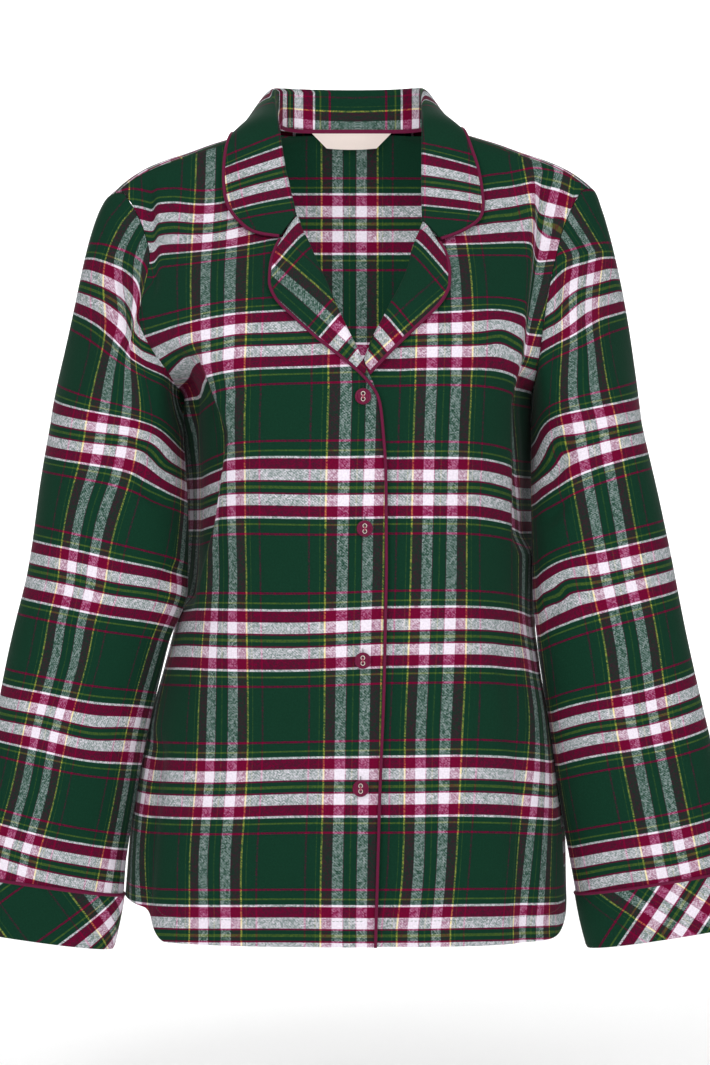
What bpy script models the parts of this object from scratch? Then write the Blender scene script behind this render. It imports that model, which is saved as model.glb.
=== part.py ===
"""Women's notched-collar pajama top, filled out as if worn, with nothing inside it.

Metres, +Z up, the front faces -Y.  The origin is the middle of the neck, level with the back
neck seam, where a wearer's neck and shoulders hold the garment.  "left" and "right" in the names
of the pieces are the wearer's; the wearer's right lies at -X.

The body is a stack of level rings: half widths, front and back depth.  Every panel is a patch of
those rings, from its inner edge to its outer edge, given thickness inwards.  A piece that lies
on a panel is made from the panel's points, moved out.
"""
import math

import bmesh
import bpy
import numpy as np
from mathutils import Matrix, Vector

# ---------------------------------------------------------------- sizes
WALL = 0.0015            # flannel panel with its seam allowances
COLLAR_WALL = 0.0026     # two layers and interlining
CUFF_WALL = 0.0022
SEAM_GAP = 0.0003        # clearance between sewn pieces
SEAM_EASE = 0.0013       # share of a panel's turn round the body that it gives up to that gap
PIPING_RADIUS = 0.0012
PIPING_GAP = 0.0005
NOTCH_GAP = 0.0012        # the pipings stop this short of each notch
LAPPING_TOP = -0.215      # below this height the right front laps over the left

RIDGE = 0.014            # level of the top of the shoulders
SHOULDER_SEAM = 0.007    # the seam lies this level, a little in front of the ridge
UNDERARM = -0.221        # level of the underarm point
HEM_START = -0.50        # below this the hem's curve bends the rings
HEM_CENTRE = -0.645
HEM_SIDE = -0.616
HEM_SWEEP = 0.26         # how far round from the side seam the hem rises, in radians
HEM_STEP_END = 0.74      # on the right the rise comes as one step, ending this far round
HEM_STEP_WIDTH = 0.28
FRONT_POWER = 2.7        # roundness of the rings, 2 is an ellipse
BACK_POWER = 2.5
SLOPE_FADE = 1.4         # how fast the slope dies out down to the underarm
SEAM_FORWARD = 0.20      # the left side seam runs this far forwards of the side, in radians
SEAM_TURNS_FROM = -0.30  # it starts to do so at this level
SEAM_TURNS_OVER = 0.15   # and gets there over this height
LAP_SINK = 0.0012        # room between the right front and the left one under it
LAP_REACH = 0.055        # the left front is set back out to here from the middle
LAP_EASE = 0.030         # and comes forward again over this width
LAP_FROM = -0.170        # height at which it starts to be set back
LAP_FADE = 0.020

BUTTON_RADIUS = 0.0063
BUTTON_THICK = 0.0026
BUTTON_HOLE_RADIUS = 0.0009
BUTTON_HOLE_OFFSET = 0.0021
DRILL_TURN = math.radians(11)    # keeps the drill's corners off the button's own edges
BUTTON_HEIGHTS = (-0.2230, -0.3240, -0.4250, -0.5230)
BUTTON_X = (0.0062, 0.0075, 0.0060, 0.0043)


class Table:
    """Rows of sizes under named columns, read smoothly between the rows (no overshoot)."""

    def __init__(self, columns, rows):
        self.columns = columns.split()
        data = np.array(sorted(rows), float)
        self.keys = data[:, 0]
        self.values = data[:, 1:]
        step = np.diff(self.keys)[:, None]
        secant = np.diff(self.values, axis=0) / step
        slopes = np.zeros_like(self.values)
        slopes[0], slopes[-1] = secant[0], secant[-1]
        before, after = secant[:-1], secant[1:]
        same = before * after > 0
        total = np.where(same, before + after, 1.0)
        slopes[1:-1] = np.where(same, 2.0 * before * after / total, 0.0)
        self.slopes = slopes

    def at(self, key, column):
        col = self.columns.index(column) - 1
        key = np.clip(np.asarray(key, float), self.keys[0], self.keys[-1])
        row = np.clip(np.searchsorted(self.keys, key, "right") - 1, 0, len(self.keys) - 2)
        width = self.keys[row + 1] - self.keys[row]
        u = (key - self.keys[row]) / width
        low, high = self.values[row, col], self.values[row + 1, col]
        rise = width * self.slopes[row, col]
        fall = width * self.slopes[row + 1, col]
        return ((1 + 2 * u) * (1 - u) ** 2 * low + u * (1 - u) ** 2 * rise
                + u * u * (3 - 2 * u) * high + u * u * (u - 1) * fall)


# How far each ring has fallen at a distance from its middle: the slope of the shoulders.
SHOULDER = Table("x drop", [
    (-0.020, 0.0017), (0.000, 0.0000), (0.020, 0.0017), (0.040, 0.0063), (0.060, 0.0127),
    (0.075, 0.0181), (0.095, 0.0243), (0.114, 0.0300), (0.134, 0.0372), (0.151, 0.0428),
    (0.168, 0.0500), (0.182, 0.0590), (0.193, 0.0686), (0.205, 0.0790), (0.222, 0.0930),
])

# The body's rings, from the shoulders' ridge to the hem.
BODY = Table("level half_right half_left front side back", [
    (0.014, 0.2220, 0.2160, 0.000, 0.000, 0.000),
    (0.012, 0.2210, 0.2150, -0.011, 0.000, 0.024),
    (0.007, 0.2170, 0.2120, -0.019, 0.000, 0.048),
    (0.000, 0.2110, 0.2080, -0.025, 0.000, 0.065),
    (-0.020, 0.2050, 0.2020, -0.031, 0.000, 0.079),
    (-0.040, 0.2000, 0.1960, -0.037, 0.000, 0.087),
    (-0.060, 0.1940, 0.1920, -0.046, 0.000, 0.092),
    (-0.080, 0.1900, 0.1870, -0.060, 0.000, 0.096),
    (-0.100, 0.1870, 0.1800, -0.076, 0.000, 0.099),
    (-0.130, 0.1880, 0.1700, -0.097, 0.001, 0.103),
    (-0.160, 0.1830, 0.1610, -0.111, 0.002, 0.106),
    (-0.190, 0.1640, 0.1530, -0.117, 0.003, 0.107),
    (-0.221, 0.1370, 0.1410, -0.120, 0.004, 0.106),
    (-0.232, 0.1330, 0.1375, -0.121, 0.0045, 0.106),
    (-0.250, 0.1352, 0.1405, -0.121, 0.020, 0.106),
    (-0.300, 0.1375, 0.1452, -0.121, 0.042, 0.105),
    (-0.350, 0.1390, 0.1452, -0.121, 0.042, 0.104),
    (-0.390, 0.1430, 0.1445, -0.121, 0.034, 0.103),
    (-0.430, 0.1520, 0.1470, -0.121, 0.020, 0.101),
    (-0.475, 0.1625, 0.1540, -0.120, 0.012, 0.101),
    (-0.530, 0.1725, 0.1630, -0.120, 0.012, 0.103),
    (-0.580, 0.1772, 0.1690, -0.119, 0.012, 0.106),
    (-0.645, 0.1795, 0.1695, -0.118, 0.012, 0.108),
])

# The armholes: how far from the middle each ring meets the sleeve seam.
ARMHOLE = Table("level right left", [
    (0.014, 0.1965, 0.1910),
    (0.000, 0.1850, 0.1820),
    (-0.030, 0.1750, 0.1720),
    (-0.060, 0.1665, 0.1640),
    (-0.090, 0.1615, 0.1580),
    (-0.120, 0.1650, 0.1525),
    (-0.150, 0.1690, 0.1485),
    (-0.180, 0.1590, 0.1450),
    (-0.200, 0.1470, 0.1430),
    (-0.221, 0.1370, 0.1410),
])

# The front edges: the neckline under the collar, the lapel's roll line, then the lapping edge.
EDGE_RIGHT = Table("height x", [
    (-0.001, -0.0745), (-0.030, -0.0660), (-0.058, -0.0575), (-0.077, -0.0512),
    (-0.088, -0.0440), (-0.0975, -0.0380), (-0.125, -0.0262), (-0.157, -0.0123), (-0.1925, 0.0054),
    (-0.2087, 0.0124), (-0.219, 0.0160), (-0.230, 0.0190), (-0.2485, 0.0207),
    (-0.280, 0.0225), (-0.431, 0.0230), (-0.537, 0.0199), (-0.645, 0.0168),
])
EDGE_LEFT = Table("height x", [
    (-0.001, 0.0680), (-0.030, 0.0640), (-0.058, 0.0600), (-0.080, 0.0580),
    (-0.091, 0.0530), (-0.101, 0.0458), (-0.125, 0.0396), (-0.1495, 0.0280), (-0.1787, 0.0124),
    (-0.191, 0.0077), (-0.215, -0.0080), (-0.235, -0.0120), (-0.645, -0.0120),
])

# The back neckline, from the middle to the neck point: how far back it lies on the body.
BACK_NECK = Table("x depth", [
    (0.000, 0.0660), (0.020, 0.0650), (0.040, 0.0600), (0.053, 0.0520),
    (0.062, 0.0400), (0.067, 0.0200), (0.0715, 0.0000),
])
NECK_POINT = 0.0690


def levels_slope(level):
    """How much of the shoulders' slope a ring still has: all at the ridge, none at the underarm."""
    share = np.clip((level - UNDERARM) / (RIDGE - UNDERARM), 0.0, 1.0)
    return share ** SLOPE_FADE


def shoulder_drop(x):
    return SHOULDER.at(np.abs(x), "drop")


def level_at(x, height):
    """The ring that passes through a height at this distance from the middle."""
    level = np.asarray(height, float) + 0.0
    for _ in range(30):
        level = height + shoulder_drop(x) * levels_slope(np.minimum(level, RIDGE))
    return np.minimum(level, RIDGE)


def half_width(level, side):
    return np.where(side < 0, BODY.at(level, "half_right"), BODY.at(level, "half_left"))


def hem_rise(away, side):
    """Rise of the hem toward a side seam; on the right side it comes as one soft step."""
    sweep = np.exp(-(away / HEM_SWEEP) ** 2)
    step = np.clip((HEM_STEP_END - away) / HEM_STEP_WIDTH, 0.0, 1.0)
    step = step * step * (3.0 - 2.0 * step) * (1.0 - 0.7 * np.minimum(away, 0.5) ** 2)
    return (HEM_SIDE - HEM_CENTRE) * np.where(side < 0, step, sweep)


def torso(angle, level, side, face):
    """A point of the body: angle 0 is the middle of the face, past a quarter turn is the other."""
    angle, level, side = np.broadcast_arrays(*map(np.asarray, (angle, level, side)))
    is_front = (angle <= math.pi / 2) == (face == "front")
    turn = np.minimum(angle, math.pi - angle)
    power = np.where(is_front, FRONT_POWER, BACK_POWER)
    sine = np.clip(np.sin(turn), 0.0, 1.0) ** (2.0 / power)
    lean = np.clip(np.cos(turn), 0.0, 1.0) ** (2.0 / power)
    x = side * half_width(level, side) * sine
    middle = BODY.at(level, "side")
    depth = np.where(is_front, BODY.at(level, "front"), BODY.at(level, "back"))
    y = middle + (depth - middle) * lean
    z = level - shoulder_drop(x) * levels_slope(level)
    rise = hem_rise(math.pi / 2 - turn, side)
    below = np.minimum(level - HEM_START, 0.0) / (HEM_CENTRE - HEM_START)
    return np.stack([x, y, z + below ** 2 * rise], axis=-1)


def angle_of(x, level, side, face):
    """The angle at which a ring is this far from the middle."""
    power = FRONT_POWER if face == "front" else BACK_POWER
    share = np.clip(np.abs(x) / half_width(level, side), 0.0, 1.0)
    return np.arcsin(share ** (power / 2.0))


def armhole_x(level, side):
    return np.where(side < 0, ARMHOLE.at(level, "right"), ARMHOLE.at(level, "left"))


def seam_angle(level, side):
    """The side seam: it runs forwards of the side on the wearer's left, towards the hem."""
    turned = np.clip((SEAM_TURNS_FROM - level) / SEAM_TURNS_OVER, 0.0, 1.0)
    forward = np.where(side > 0, SEAM_FORWARD, 0.0) * turned
    return math.pi / 2 - forward


def outer_angle(level, side, face):
    """Where a panel's outer edge lies: the armhole, then the side seam."""
    arm = angle_of(armhole_x(level, side), level, side, face)
    seam = seam_angle(level, side)
    if face == "back":
        seam = math.pi - seam
    return np.where(level > UNDERARM, arm, seam)


# ---------------------------------------------------------------- folds
# Each fold runs down the body at "x" between two heights.  A step sets back the cloth on its
# outer side, a trough sinks along it.
FOLDS = [
    # kind, side, depth, width, [(height, x) ...]
    ("step", -1, 0.0070, 0.0045, [(-0.050, -0.1600), (-0.085, -0.1590), (-0.125, -0.1560)]),
    ("step", -1, 0.0110, 0.0060, [(-0.200, -0.1230), (-0.251, -0.1030), (-0.320, -0.1130),
                                  (-0.372, -0.1290)]),
    ("step", 1, 0.0090, 0.0055, [(-0.050, 0.1460), (-0.115, 0.1405), (-0.190, 0.1350),
                                 (-0.226, 0.1270), (-0.325, 0.1270)]),
    ("trough", -1, 0.0050, 0.0080, [(-0.500, -0.1560), (-0.560, -0.1620), (-0.645, -0.1680)]),
    ("trough", 1, 0.0035, 0.0090, [(-0.420, 0.1180), (-0.530, 0.1290), (-0.645, 0.1330)]),
]
FOLD_FADE = 0.022        # a fold dies out over this length past each end
FOLD_EDGE = 0.16         # and over this share of a front's width next to its outer seam
FOLD_MIDDLE = 0.02       # and over this width next to the middle of the body


def fold_depth(points):
    """How far the folds push each point of a front inwards."""
    x, z = points[..., 0], points[..., 2]
    depth = np.zeros_like(x)
    for kind, side, deep, width, path in FOLDS:
        heights, places = np.array(sorted(path)).T
        off = side * (x - np.interp(z, heights, places)) / width
        shape = 0.5 * (1 + np.tanh(off)) if kind == "step" else np.exp(-off ** 2)
        past = np.maximum(heights[0] - z, z - heights[-1])
        fade = np.clip(1.0 - past / FOLD_FADE, 0.0, 1.0)
        on_side = np.clip(side * x / FOLD_MIDDLE, 0.0, 1.0)
        depth += deep * shape * on_side * np.where(past > 0, fade ** 2 * (3 - 2 * fade), 1.0)
    return depth


# ---------------------------------------------------------------- sheets of cloth
def unit(vectors):
    length = np.linalg.norm(vectors, axis=-1, keepdims=True)
    return vectors / np.maximum(length, 1e-12)


def normals_of(grid, closed=False):
    """Unit normals of a grid of points, rows down and columns across."""
    down = np.gradient(grid, axis=0, edge_order=2 if len(grid) > 2 else 1)
    if closed:
        across = np.roll(grid, -1, axis=1) - np.roll(grid, 1, axis=1)
    else:
        across = np.gradient(grid, axis=1, edge_order=2)
    return unit(np.cross(across, down))


def add_object(name, vertices, faces, colour, roughness=0.8, metallic=0.0):
    mesh = bpy.data.meshes.new(name)
    mesh.from_pydata([tuple(map(float, v)) for v in vertices], [], faces)
    piece = bpy.data.objects.new(name, mesh)
    bpy.context.collection.objects.link(piece)
    material = bpy.data.materials.new(name)
    material.use_nodes = True
    shader = material.node_tree.nodes["Principled BSDF"]
    shader.inputs["Base Color"].default_value = (*colour, 1.0)
    shader.inputs["Roughness"].default_value = roughness
    shader.inputs["Metallic"].default_value = metallic
    mesh.materials.append(material)
    mesh.shade_smooth()
    mesh.set_sharp_from_angle(angle=math.radians(40))
    return piece


def add_sheet(name, grid, wall, colour, closed=False, outward=None):
    """A closed wall under a grid of points: the grid is the outer side."""
    normals = normals_of(grid, closed) if outward is None else outward
    rows, cols = grid.shape[:2]
    outer, inner = grid.reshape(-1, 3), (grid - normals * wall).reshape(-1, 3)
    count = rows * cols
    faces = []
    last = cols if closed else cols - 1

    def corner(i, j, layer):
        return i * cols + j % cols + layer * count

    for i in range(rows - 1):
        for j in range(last):
            quad = [corner(i, j, 0), corner(i, j + 1, 0), corner(i + 1, j + 1, 0), corner(i + 1, j, 0)]
            faces.append(quad[::-1])
            faces.append([v + count for v in quad])
    for j in range(last):
        for i in (0, rows - 1):
            rim = [corner(i, j, 0), corner(i, j + 1, 0), corner(i, j + 1, 1), corner(i, j, 1)]
            faces.append(rim if i == 0 else rim[::-1])
    if not closed:
        for i in range(rows - 1):
            for j in (0, cols - 1):
                rim = [corner(i, j, 0), corner(i + 1, j, 0), corner(i + 1, j, 1), corner(i, j, 1)]
                faces.append(rim[::-1] if j == 0 else rim)
    piece = add_object(name, np.concatenate([outer, inner]), faces, colour)
    mend_normals(piece)
    return piece


def mend_normals(piece):
    """Point every face of a closed wall outwards."""
    shape = bmesh.new()
    shape.from_mesh(piece.data)
    bmesh.ops.recalc_face_normals(shape, faces=shape.faces)
    if shape.calc_volume(signed=True) < 0:
        bmesh.ops.reverse_faces(shape, faces=shape.faces)
    shape.to_mesh(piece.data)
    shape.free()


def add_tube(name, path, radius, colour, sides=6, closed=False):
    """A round cord along a path, capped at both ends unless it closes on itself."""
    path = np.asarray(path, float)
    if closed:
        along = unit(np.roll(path, -1, axis=0) - np.roll(path, 1, axis=0))
    else:
        along = unit(np.gradient(path, axis=0))
    side = Vector(along[0]).orthogonal().normalized()
    rings = []
    for here, way in zip(path, along):
        way = Vector(way)
        side = (side - way * side.dot(way)).normalized()
        up = way.cross(side)
        rings.append([Vector(here) + radius * (math.cos(turn) * side + math.sin(turn) * up)
                      for turn in (2 * math.pi * k / sides for k in range(sides))])
    points = [point for ring in rings for point in ring]
    count = len(rings)
    faces = []
    for i in range(count if closed else count - 1):
        j = (i + 1) % count
        for k in range(sides):
            m = (k + 1) % sides
            faces.append([i * sides + k, i * sides + m, j * sides + m, j * sides + k])
    if not closed:
        faces.append(list(range(sides))[::-1])
        faces.append([(count - 1) * sides + k for k in range(sides)])
    piece = add_object(name, points, faces, colour, roughness=0.6)
    mend_normals(piece)
    return piece


# ---------------------------------------------------------------- body panels
GREEN = (0.010, 0.045, 0.024)
BURGUNDY = (0.120, 0.004, 0.040)
CREAM = (0.72, 0.62, 0.58)

# Every piece that meets the armhole or the side seam has a row at each of these rings.
ARM_LEVELS = (-0.012, -0.035, -0.060, -0.085, -0.110, -0.135, -0.160, -0.185, -0.205, -0.221)
SIDE_LEVELS = tuple(np.linspace(UNDERARM, HEM_CENTRE, 12)[1:])
OVER_RIDGE = (0.000, 0.005, 0.013, 0.028)    # rows of the back past the ridge, in level
SEAM_Q = -(RIDGE - SHOULDER_SEAM)


def fold_in(grid, share):
    """A front with the body's folds pressed in; they die out towards its outer seam."""
    outward = normals_of(grid)
    outward = outward * -np.sign(outward[..., 1:2] - 1e-9)
    edge = np.clip((1.0 - share) / FOLD_EDGE, 0.0, 1.0)
    depth = fold_depth(grid) * edge * edge * (3 - 2 * edge)
    return grid - outward * depth[..., None]


def edge_x(side, level):
    """Where a front's inner edge crosses a ring."""
    table = EDGE_RIGHT if side < 0 else EDGE_LEFT
    x = table.at(level, "x")
    for _ in range(4):
        height = level - shoulder_drop(x) * levels_slope(level)
        x = table.at(height, "x")
    return x


def front_grid(side, columns, sink=0.0):
    """One front: a row of points for each ring, from the inner edge to the outer one."""
    levels = np.array((SHOULDER_SEAM - 2 * SEAM_GAP, *ARM_LEVELS, *SIDE_LEVELS))
    inner = edge_x(side, levels)
    outer = outer_angle(levels, side, "front") * (1.0 - SEAM_EASE)
    start = angle_of(inner, levels, side, "front") * np.sign(inner * side)
    share = np.linspace(0.0, 1.0, columns)[None, :]
    angle = start[:, None] + (outer - start)[:, None] * share
    on_side = np.where(angle >= 0, side, -side)
    grid = fold_in(torso(np.abs(angle), levels[:, None], on_side, "front"), share)
    lap = np.clip((LAP_REACH - side * grid[..., 0]) / LAP_EASE, 0.0, 1.0)
    below = np.clip((LAP_FROM - grid[..., 2]) / LAP_FADE, 0.0, 1.0)
    grid[..., 1] += sink * lap * lap * (3 - 2 * lap) * below
    return grid


def back_point(share, q, side):
    """A point of the back, q past the ridge in level; q below 0 lies in front of the ridge."""
    level = RIDGE - np.abs(q)
    back = torso(outer_angle(level, side, "back") * share, level, side, "back")
    front = torso(outer_angle(level, side, "front") * share, level, side, "front")
    return np.where((q < 0)[..., None], front, back)


def neck_q(x):
    """How far past the ridge the back neckline lies at a distance from the middle."""
    wanted = BACK_NECK.at(np.abs(x), "depth")
    q = np.linspace(0.0, 0.016, 161)
    return np.interp(wanted, BODY.at(RIDGE - q, "back"), q)


def back_grid(shares):
    """The back, from the shoulder seams and the neckline to the hem."""
    top_rows = np.array((SEAM_Q + SEAM_GAP / 2, *OVER_RIDGE, RIDGE - ARM_LEVELS[1]))
    top = np.full(len(shares), top_rows[0])
    for _ in range(6):
        x_top = np.abs(back_point(np.abs(shares), top, np.where(shares < 0, -1, 1))[:, 0])
        top = np.where(x_top < NECK_POINT - 0.0005, neck_q(x_top), top_rows[0])
    along = (top_rows - top_rows[0]) / (top_rows[-1] - top_rows[0])
    upper = top[None, :] + (top_rows[-1] - top[None, :]) * along[:, None]
    lower = RIDGE - np.array((*ARM_LEVELS[2:], *SIDE_LEVELS))
    q = np.concatenate([upper, np.repeat(lower[:, None], len(shares), axis=1)])
    side = np.where(shares < 0, -1, 1)[None, :] * np.ones_like(q)
    reach = np.minimum(np.abs(shares)[None, :], 1.0 - SEAM_EASE) * np.ones_like(q)
    return back_point(reach, q, side)


BACK_X = (0.0200, 0.0390, 0.0530, 0.0625, NECK_POINT, 0.0900, 0.1200, 0.1500, 0.1750)
BACK_HALF = angle_of(BACK_X, SHOULDER_SEAM, -1, "front") / outer_angle(SHOULDER_SEAM, -1, "front")
BACK_SHARES = np.concatenate([[-1.0], -BACK_HALF[::-1], [0.0], BACK_HALF, [1.0]])


# ---------------------------------------------------------------- sleeves
# A sleeve's rings below the cap: the ends of each ring seen from the front, and its depth.
SLEEVE_RIGHT = Table("along outer_x outer_z inner_x inner_z middle depth", [
    (0.30, -0.2420, -0.2400, -0.1372, -0.2520, -0.012, 0.0570),
    (0.42, -0.2500, -0.3000, -0.1345, -0.3180, -0.030, 0.0510),
    (0.53, -0.2587, -0.3540, -0.1340, -0.3720, -0.034, 0.0460),
    (0.62, -0.2682, -0.3970, -0.1462, -0.4140, -0.033, 0.0430),
    (0.77, -0.2846, -0.4760, -0.1652, -0.4950, -0.030, 0.0390),
    (0.90, -0.3009, -0.5450, -0.1765, -0.5640, -0.026, 0.0360),
    (1.00, -0.3142, -0.5950, -0.1838, -0.6138, -0.022, 0.0345),
])
SLEEVE_LEFT = Table("along outer_x outer_z inner_x inner_z middle depth", [
    (0.30, 0.2290, -0.2400, 0.1436, -0.2520, -0.012, 0.0570),
    (0.42, 0.2400, -0.3000, 0.1432, -0.3180, -0.030, 0.0510),
    (0.53, 0.2510, -0.3540, 0.1422, -0.3720, -0.034, 0.0460),
    (0.62, 0.2602, -0.3970, 0.1465, -0.4140, -0.033, 0.0430),
    (0.77, 0.2786, -0.4760, 0.1590, -0.4950, -0.030, 0.0390),
    (0.90, 0.2949, -0.5450, 0.1705, -0.5640, -0.026, 0.0360),
    (1.00, 0.3077, -0.5920, 0.1775, -0.6130, -0.022, 0.0345),
])
CAP_END = 0.30
SLEEVE_POWER = 2.3
CUFF_DEPTH = 0.0440
CUFF_EASE = 0.0012       # the cuff stands this far outside the sleeve
CUFF_SIDES = 20
CAP_PUFF = 0.80          # how strongly the cap leaves the armhole sideways
CAP_FALL = 1.60          # and downwards, least at its top
CAP_FORWARD = 0.25       # and forwards at the front
CAP_TUCK = 0.70          # how much sooner the cap turns down at its top
CAP_MEETS = 0.50         # how straight it runs into the first full ring


def armhole_loop(side):
    """The armhole's points: ridge, down the front, underarm, and up the back."""
    front = np.array((RIDGE, SHOULDER_SEAM, *ARM_LEVELS))
    back = np.array([*ARM_LEVELS[-2:0:-1], *(RIDGE - q for q in OVER_RIDGE[:0:-1])])
    points = np.concatenate([
        torso(outer_angle(front, side, "front"), front, side, "front"),
        torso(outer_angle(back, side, "back"), back, side, "back")])
    step = np.linalg.norm(np.roll(points, -1, axis=0) - points, axis=1)
    turn = np.concatenate([[0.0], np.cumsum(step)[:-1]])
    under = len(front) - 1
    total = step.sum()
    turn = np.where(np.arange(len(turn)) <= under, math.pi * turn / turn[under],
                    math.pi + math.pi * (turn - turn[under]) / (total - turn[under]))
    return points, turn


def sleeve_ring(turn, along, side, grow=0.0):
    """A ring of the sleeve: turn 0 is its outer edge, a quarter turn its front."""
    table = SLEEVE_RIGHT if side < 0 else SLEEVE_LEFT
    outer = np.array([table.at(along, "outer_x"), 0.0, table.at(along, "outer_z")])
    inner = np.array([table.at(along, "inner_x"), 0.0, table.at(along, "inner_z")])
    middle = (outer + inner) / 2 + (0.0, table.at(along, "middle"), 0.0)
    reach = (outer - inner) / 2
    reach = reach * (1 + grow / np.linalg.norm(reach))
    depth = table.at(along, "depth") + grow
    cosine, sine = np.cos(turn), np.sin(turn)
    across = np.sign(cosine) * np.abs(cosine) ** (2 / SLEEVE_POWER)
    forward = np.sign(sine) * np.abs(sine) ** (2 / SLEEVE_POWER)
    return middle + across[:, None] * reach - forward[:, None] * np.array([0.0, depth, 0.0])


def sleeve_axis(along, side):
    """The direction in which the sleeve runs at a ring."""
    turn = np.array([0.0, math.pi])
    here = sleeve_ring(turn, along, side).mean(axis=0)
    there = sleeve_ring(turn, along + 0.02, side).mean(axis=0)
    return unit(there - here)


def sleeve_cap(points, turn, side, share):
    """A ring of the cap, blended from the armhole to the first full ring."""
    end = sleeve_ring(turn, CAP_END, side)
    span = np.linalg.norm(end - points, axis=1)[:, None]
    axis = sleeve_axis(CAP_END, side)
    high = (0.5 + 0.5 * np.cos(turn))[:, None]
    leave = unit(axis * (CAP_FALL - high) + np.array([side * CAP_PUFF, 0.0, 0.0]) * high
                 - np.array([0.0, CAP_FORWARD, 0.0]) * np.sin(turn)[:, None])
    leave = leave * (1 - CAP_TUCK * high)
    u = share
    return ((1 + 2 * u) * (1 - u) ** 2 * points + u * (1 - u) ** 2 * span * leave
            + u * u * (3 - 2 * u) * end + u * u * (u - 1) * span * CAP_MEETS * axis)


def sleeve_grid(side, cap_rows=4, rows=6):
    points, turn = armhole_loop(side)
    rings = [sleeve_cap(points, turn, side, share) for share in np.linspace(0.0, 1.0, cap_rows + 1)]
    rings += [sleeve_ring(turn, along, side) for along in np.linspace(CAP_END, 1.0, rows + 1)[1:]]
    grid = np.array(rings)
    away = unit(grid[1] - grid[0])
    grid[0] = grid[0] + away * 5 * SEAM_GAP
    return grid


def cuff_grid(side):
    """The cuff carries the sleeve's last ring on, a little wider."""
    turn = np.linspace(0.0, 2 * math.pi, CUFF_SIDES + 1)[:-1]
    top = sleeve_ring(turn, 1.0, side, grow=CUFF_EASE)
    axis = sleeve_axis(0.96, side)
    start = axis * SEAM_GAP
    return np.array([top + start, top + axis * CUFF_DEPTH / 2, top + axis * CUFF_DEPTH])


def cuff_piping_path(side):
    turn = np.linspace(0.0, 2 * math.pi, CUFF_SIDES + 1)[:-1]
    return sleeve_ring(turn, 1.0, side, grow=CUFF_EASE + PIPING_RADIUS + SEAM_GAP)


def build_body_and_sleeves():
    """The fronts, back and sleeves share one wall direction along each armhole."""
    under = len(ARM_LEVELS) + 1
    back = back_grid(BACK_SHARES)
    back_out = normals_of(back)
    for side, word in ((-1, "right"), (1, "left")):
        sleeve = sleeve_grid(side)
        sleeve_out = normals_of(sleeve, closed=True) * side
        sink = WALL + LAP_SINK if side > 0 else 0.0
        front = front_grid(side, 12, sink)
        front_out = normals_of(front) * -side
        if side < 0:
            front_edge = front[:, 0]
        column = 0 if side < 0 else -1
        for row in range(under):
            mitre = unit(front_out[row, -1] + sleeve_out[0, row + 1])
            front_out[row, -1] = sleeve_out[0, row + 1] = mitre
        for row in range(1, 5 + len(ARM_LEVELS) - 2):
            place = (len(sleeve[0]) - row + 1) % len(sleeve[0])
            mitre = unit(back_out[row, column] + sleeve_out[0, place])
            back_out[row, column] = sleeve_out[0, place] = mitre
        add_sheet("front_" + word, front, WALL, GREEN, outward=front_out)
        add_sheet("sleeve_" + word, sleeve, WALL, GREEN, closed=True, outward=sleeve_out)
        cuff = cuff_grid(side)
        add_sheet("cuff_" + word, cuff, CUFF_WALL, GREEN, closed=True,
                  outward=normals_of(cuff, closed=True) * side)
        add_tube("piping_cuff_" + word, cuff_piping_path(side), PIPING_RADIUS, BURGUNDY, closed=True)
    add_sheet("back", back, WALL, GREEN, outward=back_out)
    return front_edge


# ---------------------------------------------------------------- lapels
# Each row crosses a lapel from its roll line to its edge, from the notch down to the first button.
LAPEL_RIGHT = Table("along roll_x roll_z edge_x edge_z", [
    (0.00, -0.0440, -0.0815, -0.0566, -0.1000),
    (0.12, -0.0405, -0.0920, -0.0610, -0.1095),
    (0.25, -0.0350, -0.1035, -0.0640, -0.1225),
    (0.40, -0.0290, -0.1185, -0.0645, -0.1350),
    (0.52, -0.0235, -0.1305, -0.0600, -0.1470),
    (0.65, -0.0160, -0.1485, -0.0465, -0.1605),
    (0.78, -0.0075, -0.1670, -0.0262, -0.1788),
    (0.90, 0.0010, -0.1840, -0.0060, -0.1945),
    (1.00, 0.0088, -0.2010, 0.0070, -0.2060),
])
LAPEL_LEFT = Table("along roll_x roll_z edge_x edge_z", [
    (0.00, 0.0522, -0.0862, 0.0640, -0.1024),
    (0.12, 0.0500, -0.0925, 0.0690, -0.1115),
    (0.25, 0.0463, -0.1010, 0.0715, -0.1240),
    (0.40, 0.0400, -0.1240, 0.0712, -0.1360),
    (0.52, 0.0340, -0.1380, 0.0660, -0.1480),
    (0.66, 0.0260, -0.1530, 0.0490, -0.1655),
    (0.80, 0.0180, -0.1690, 0.0300, -0.1835),
    (1.00, 0.0105, -0.1860, 0.0135, -0.1945),
])
LAPEL_WALL = 0.0020
LAPEL_LIFT = 0.0026      # height of the lapel's face at its roll line
LAPEL_CROWN = 0.0030     # extra height where the roll is fullest
LAPEL_EDGE_LIFT = 0.0036


def on_front(x, z):
    """The point of the front form straight behind a place seen from the front."""
    level = level_at(x, z)
    side = np.where(x < 0, -1, 1)
    return torso(angle_of(x, level, side, "front"), level, side, "front")


def front_normals(points):
    """Outward directions of the front form at some of its points."""
    x, z, step = points[..., 0], points[..., 2], 0.002
    across = on_front(x + step, z) - on_front(x - step, z)
    up = on_front(x, z + step) - on_front(x, z - step)
    return unit(np.cross(across, up))


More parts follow.
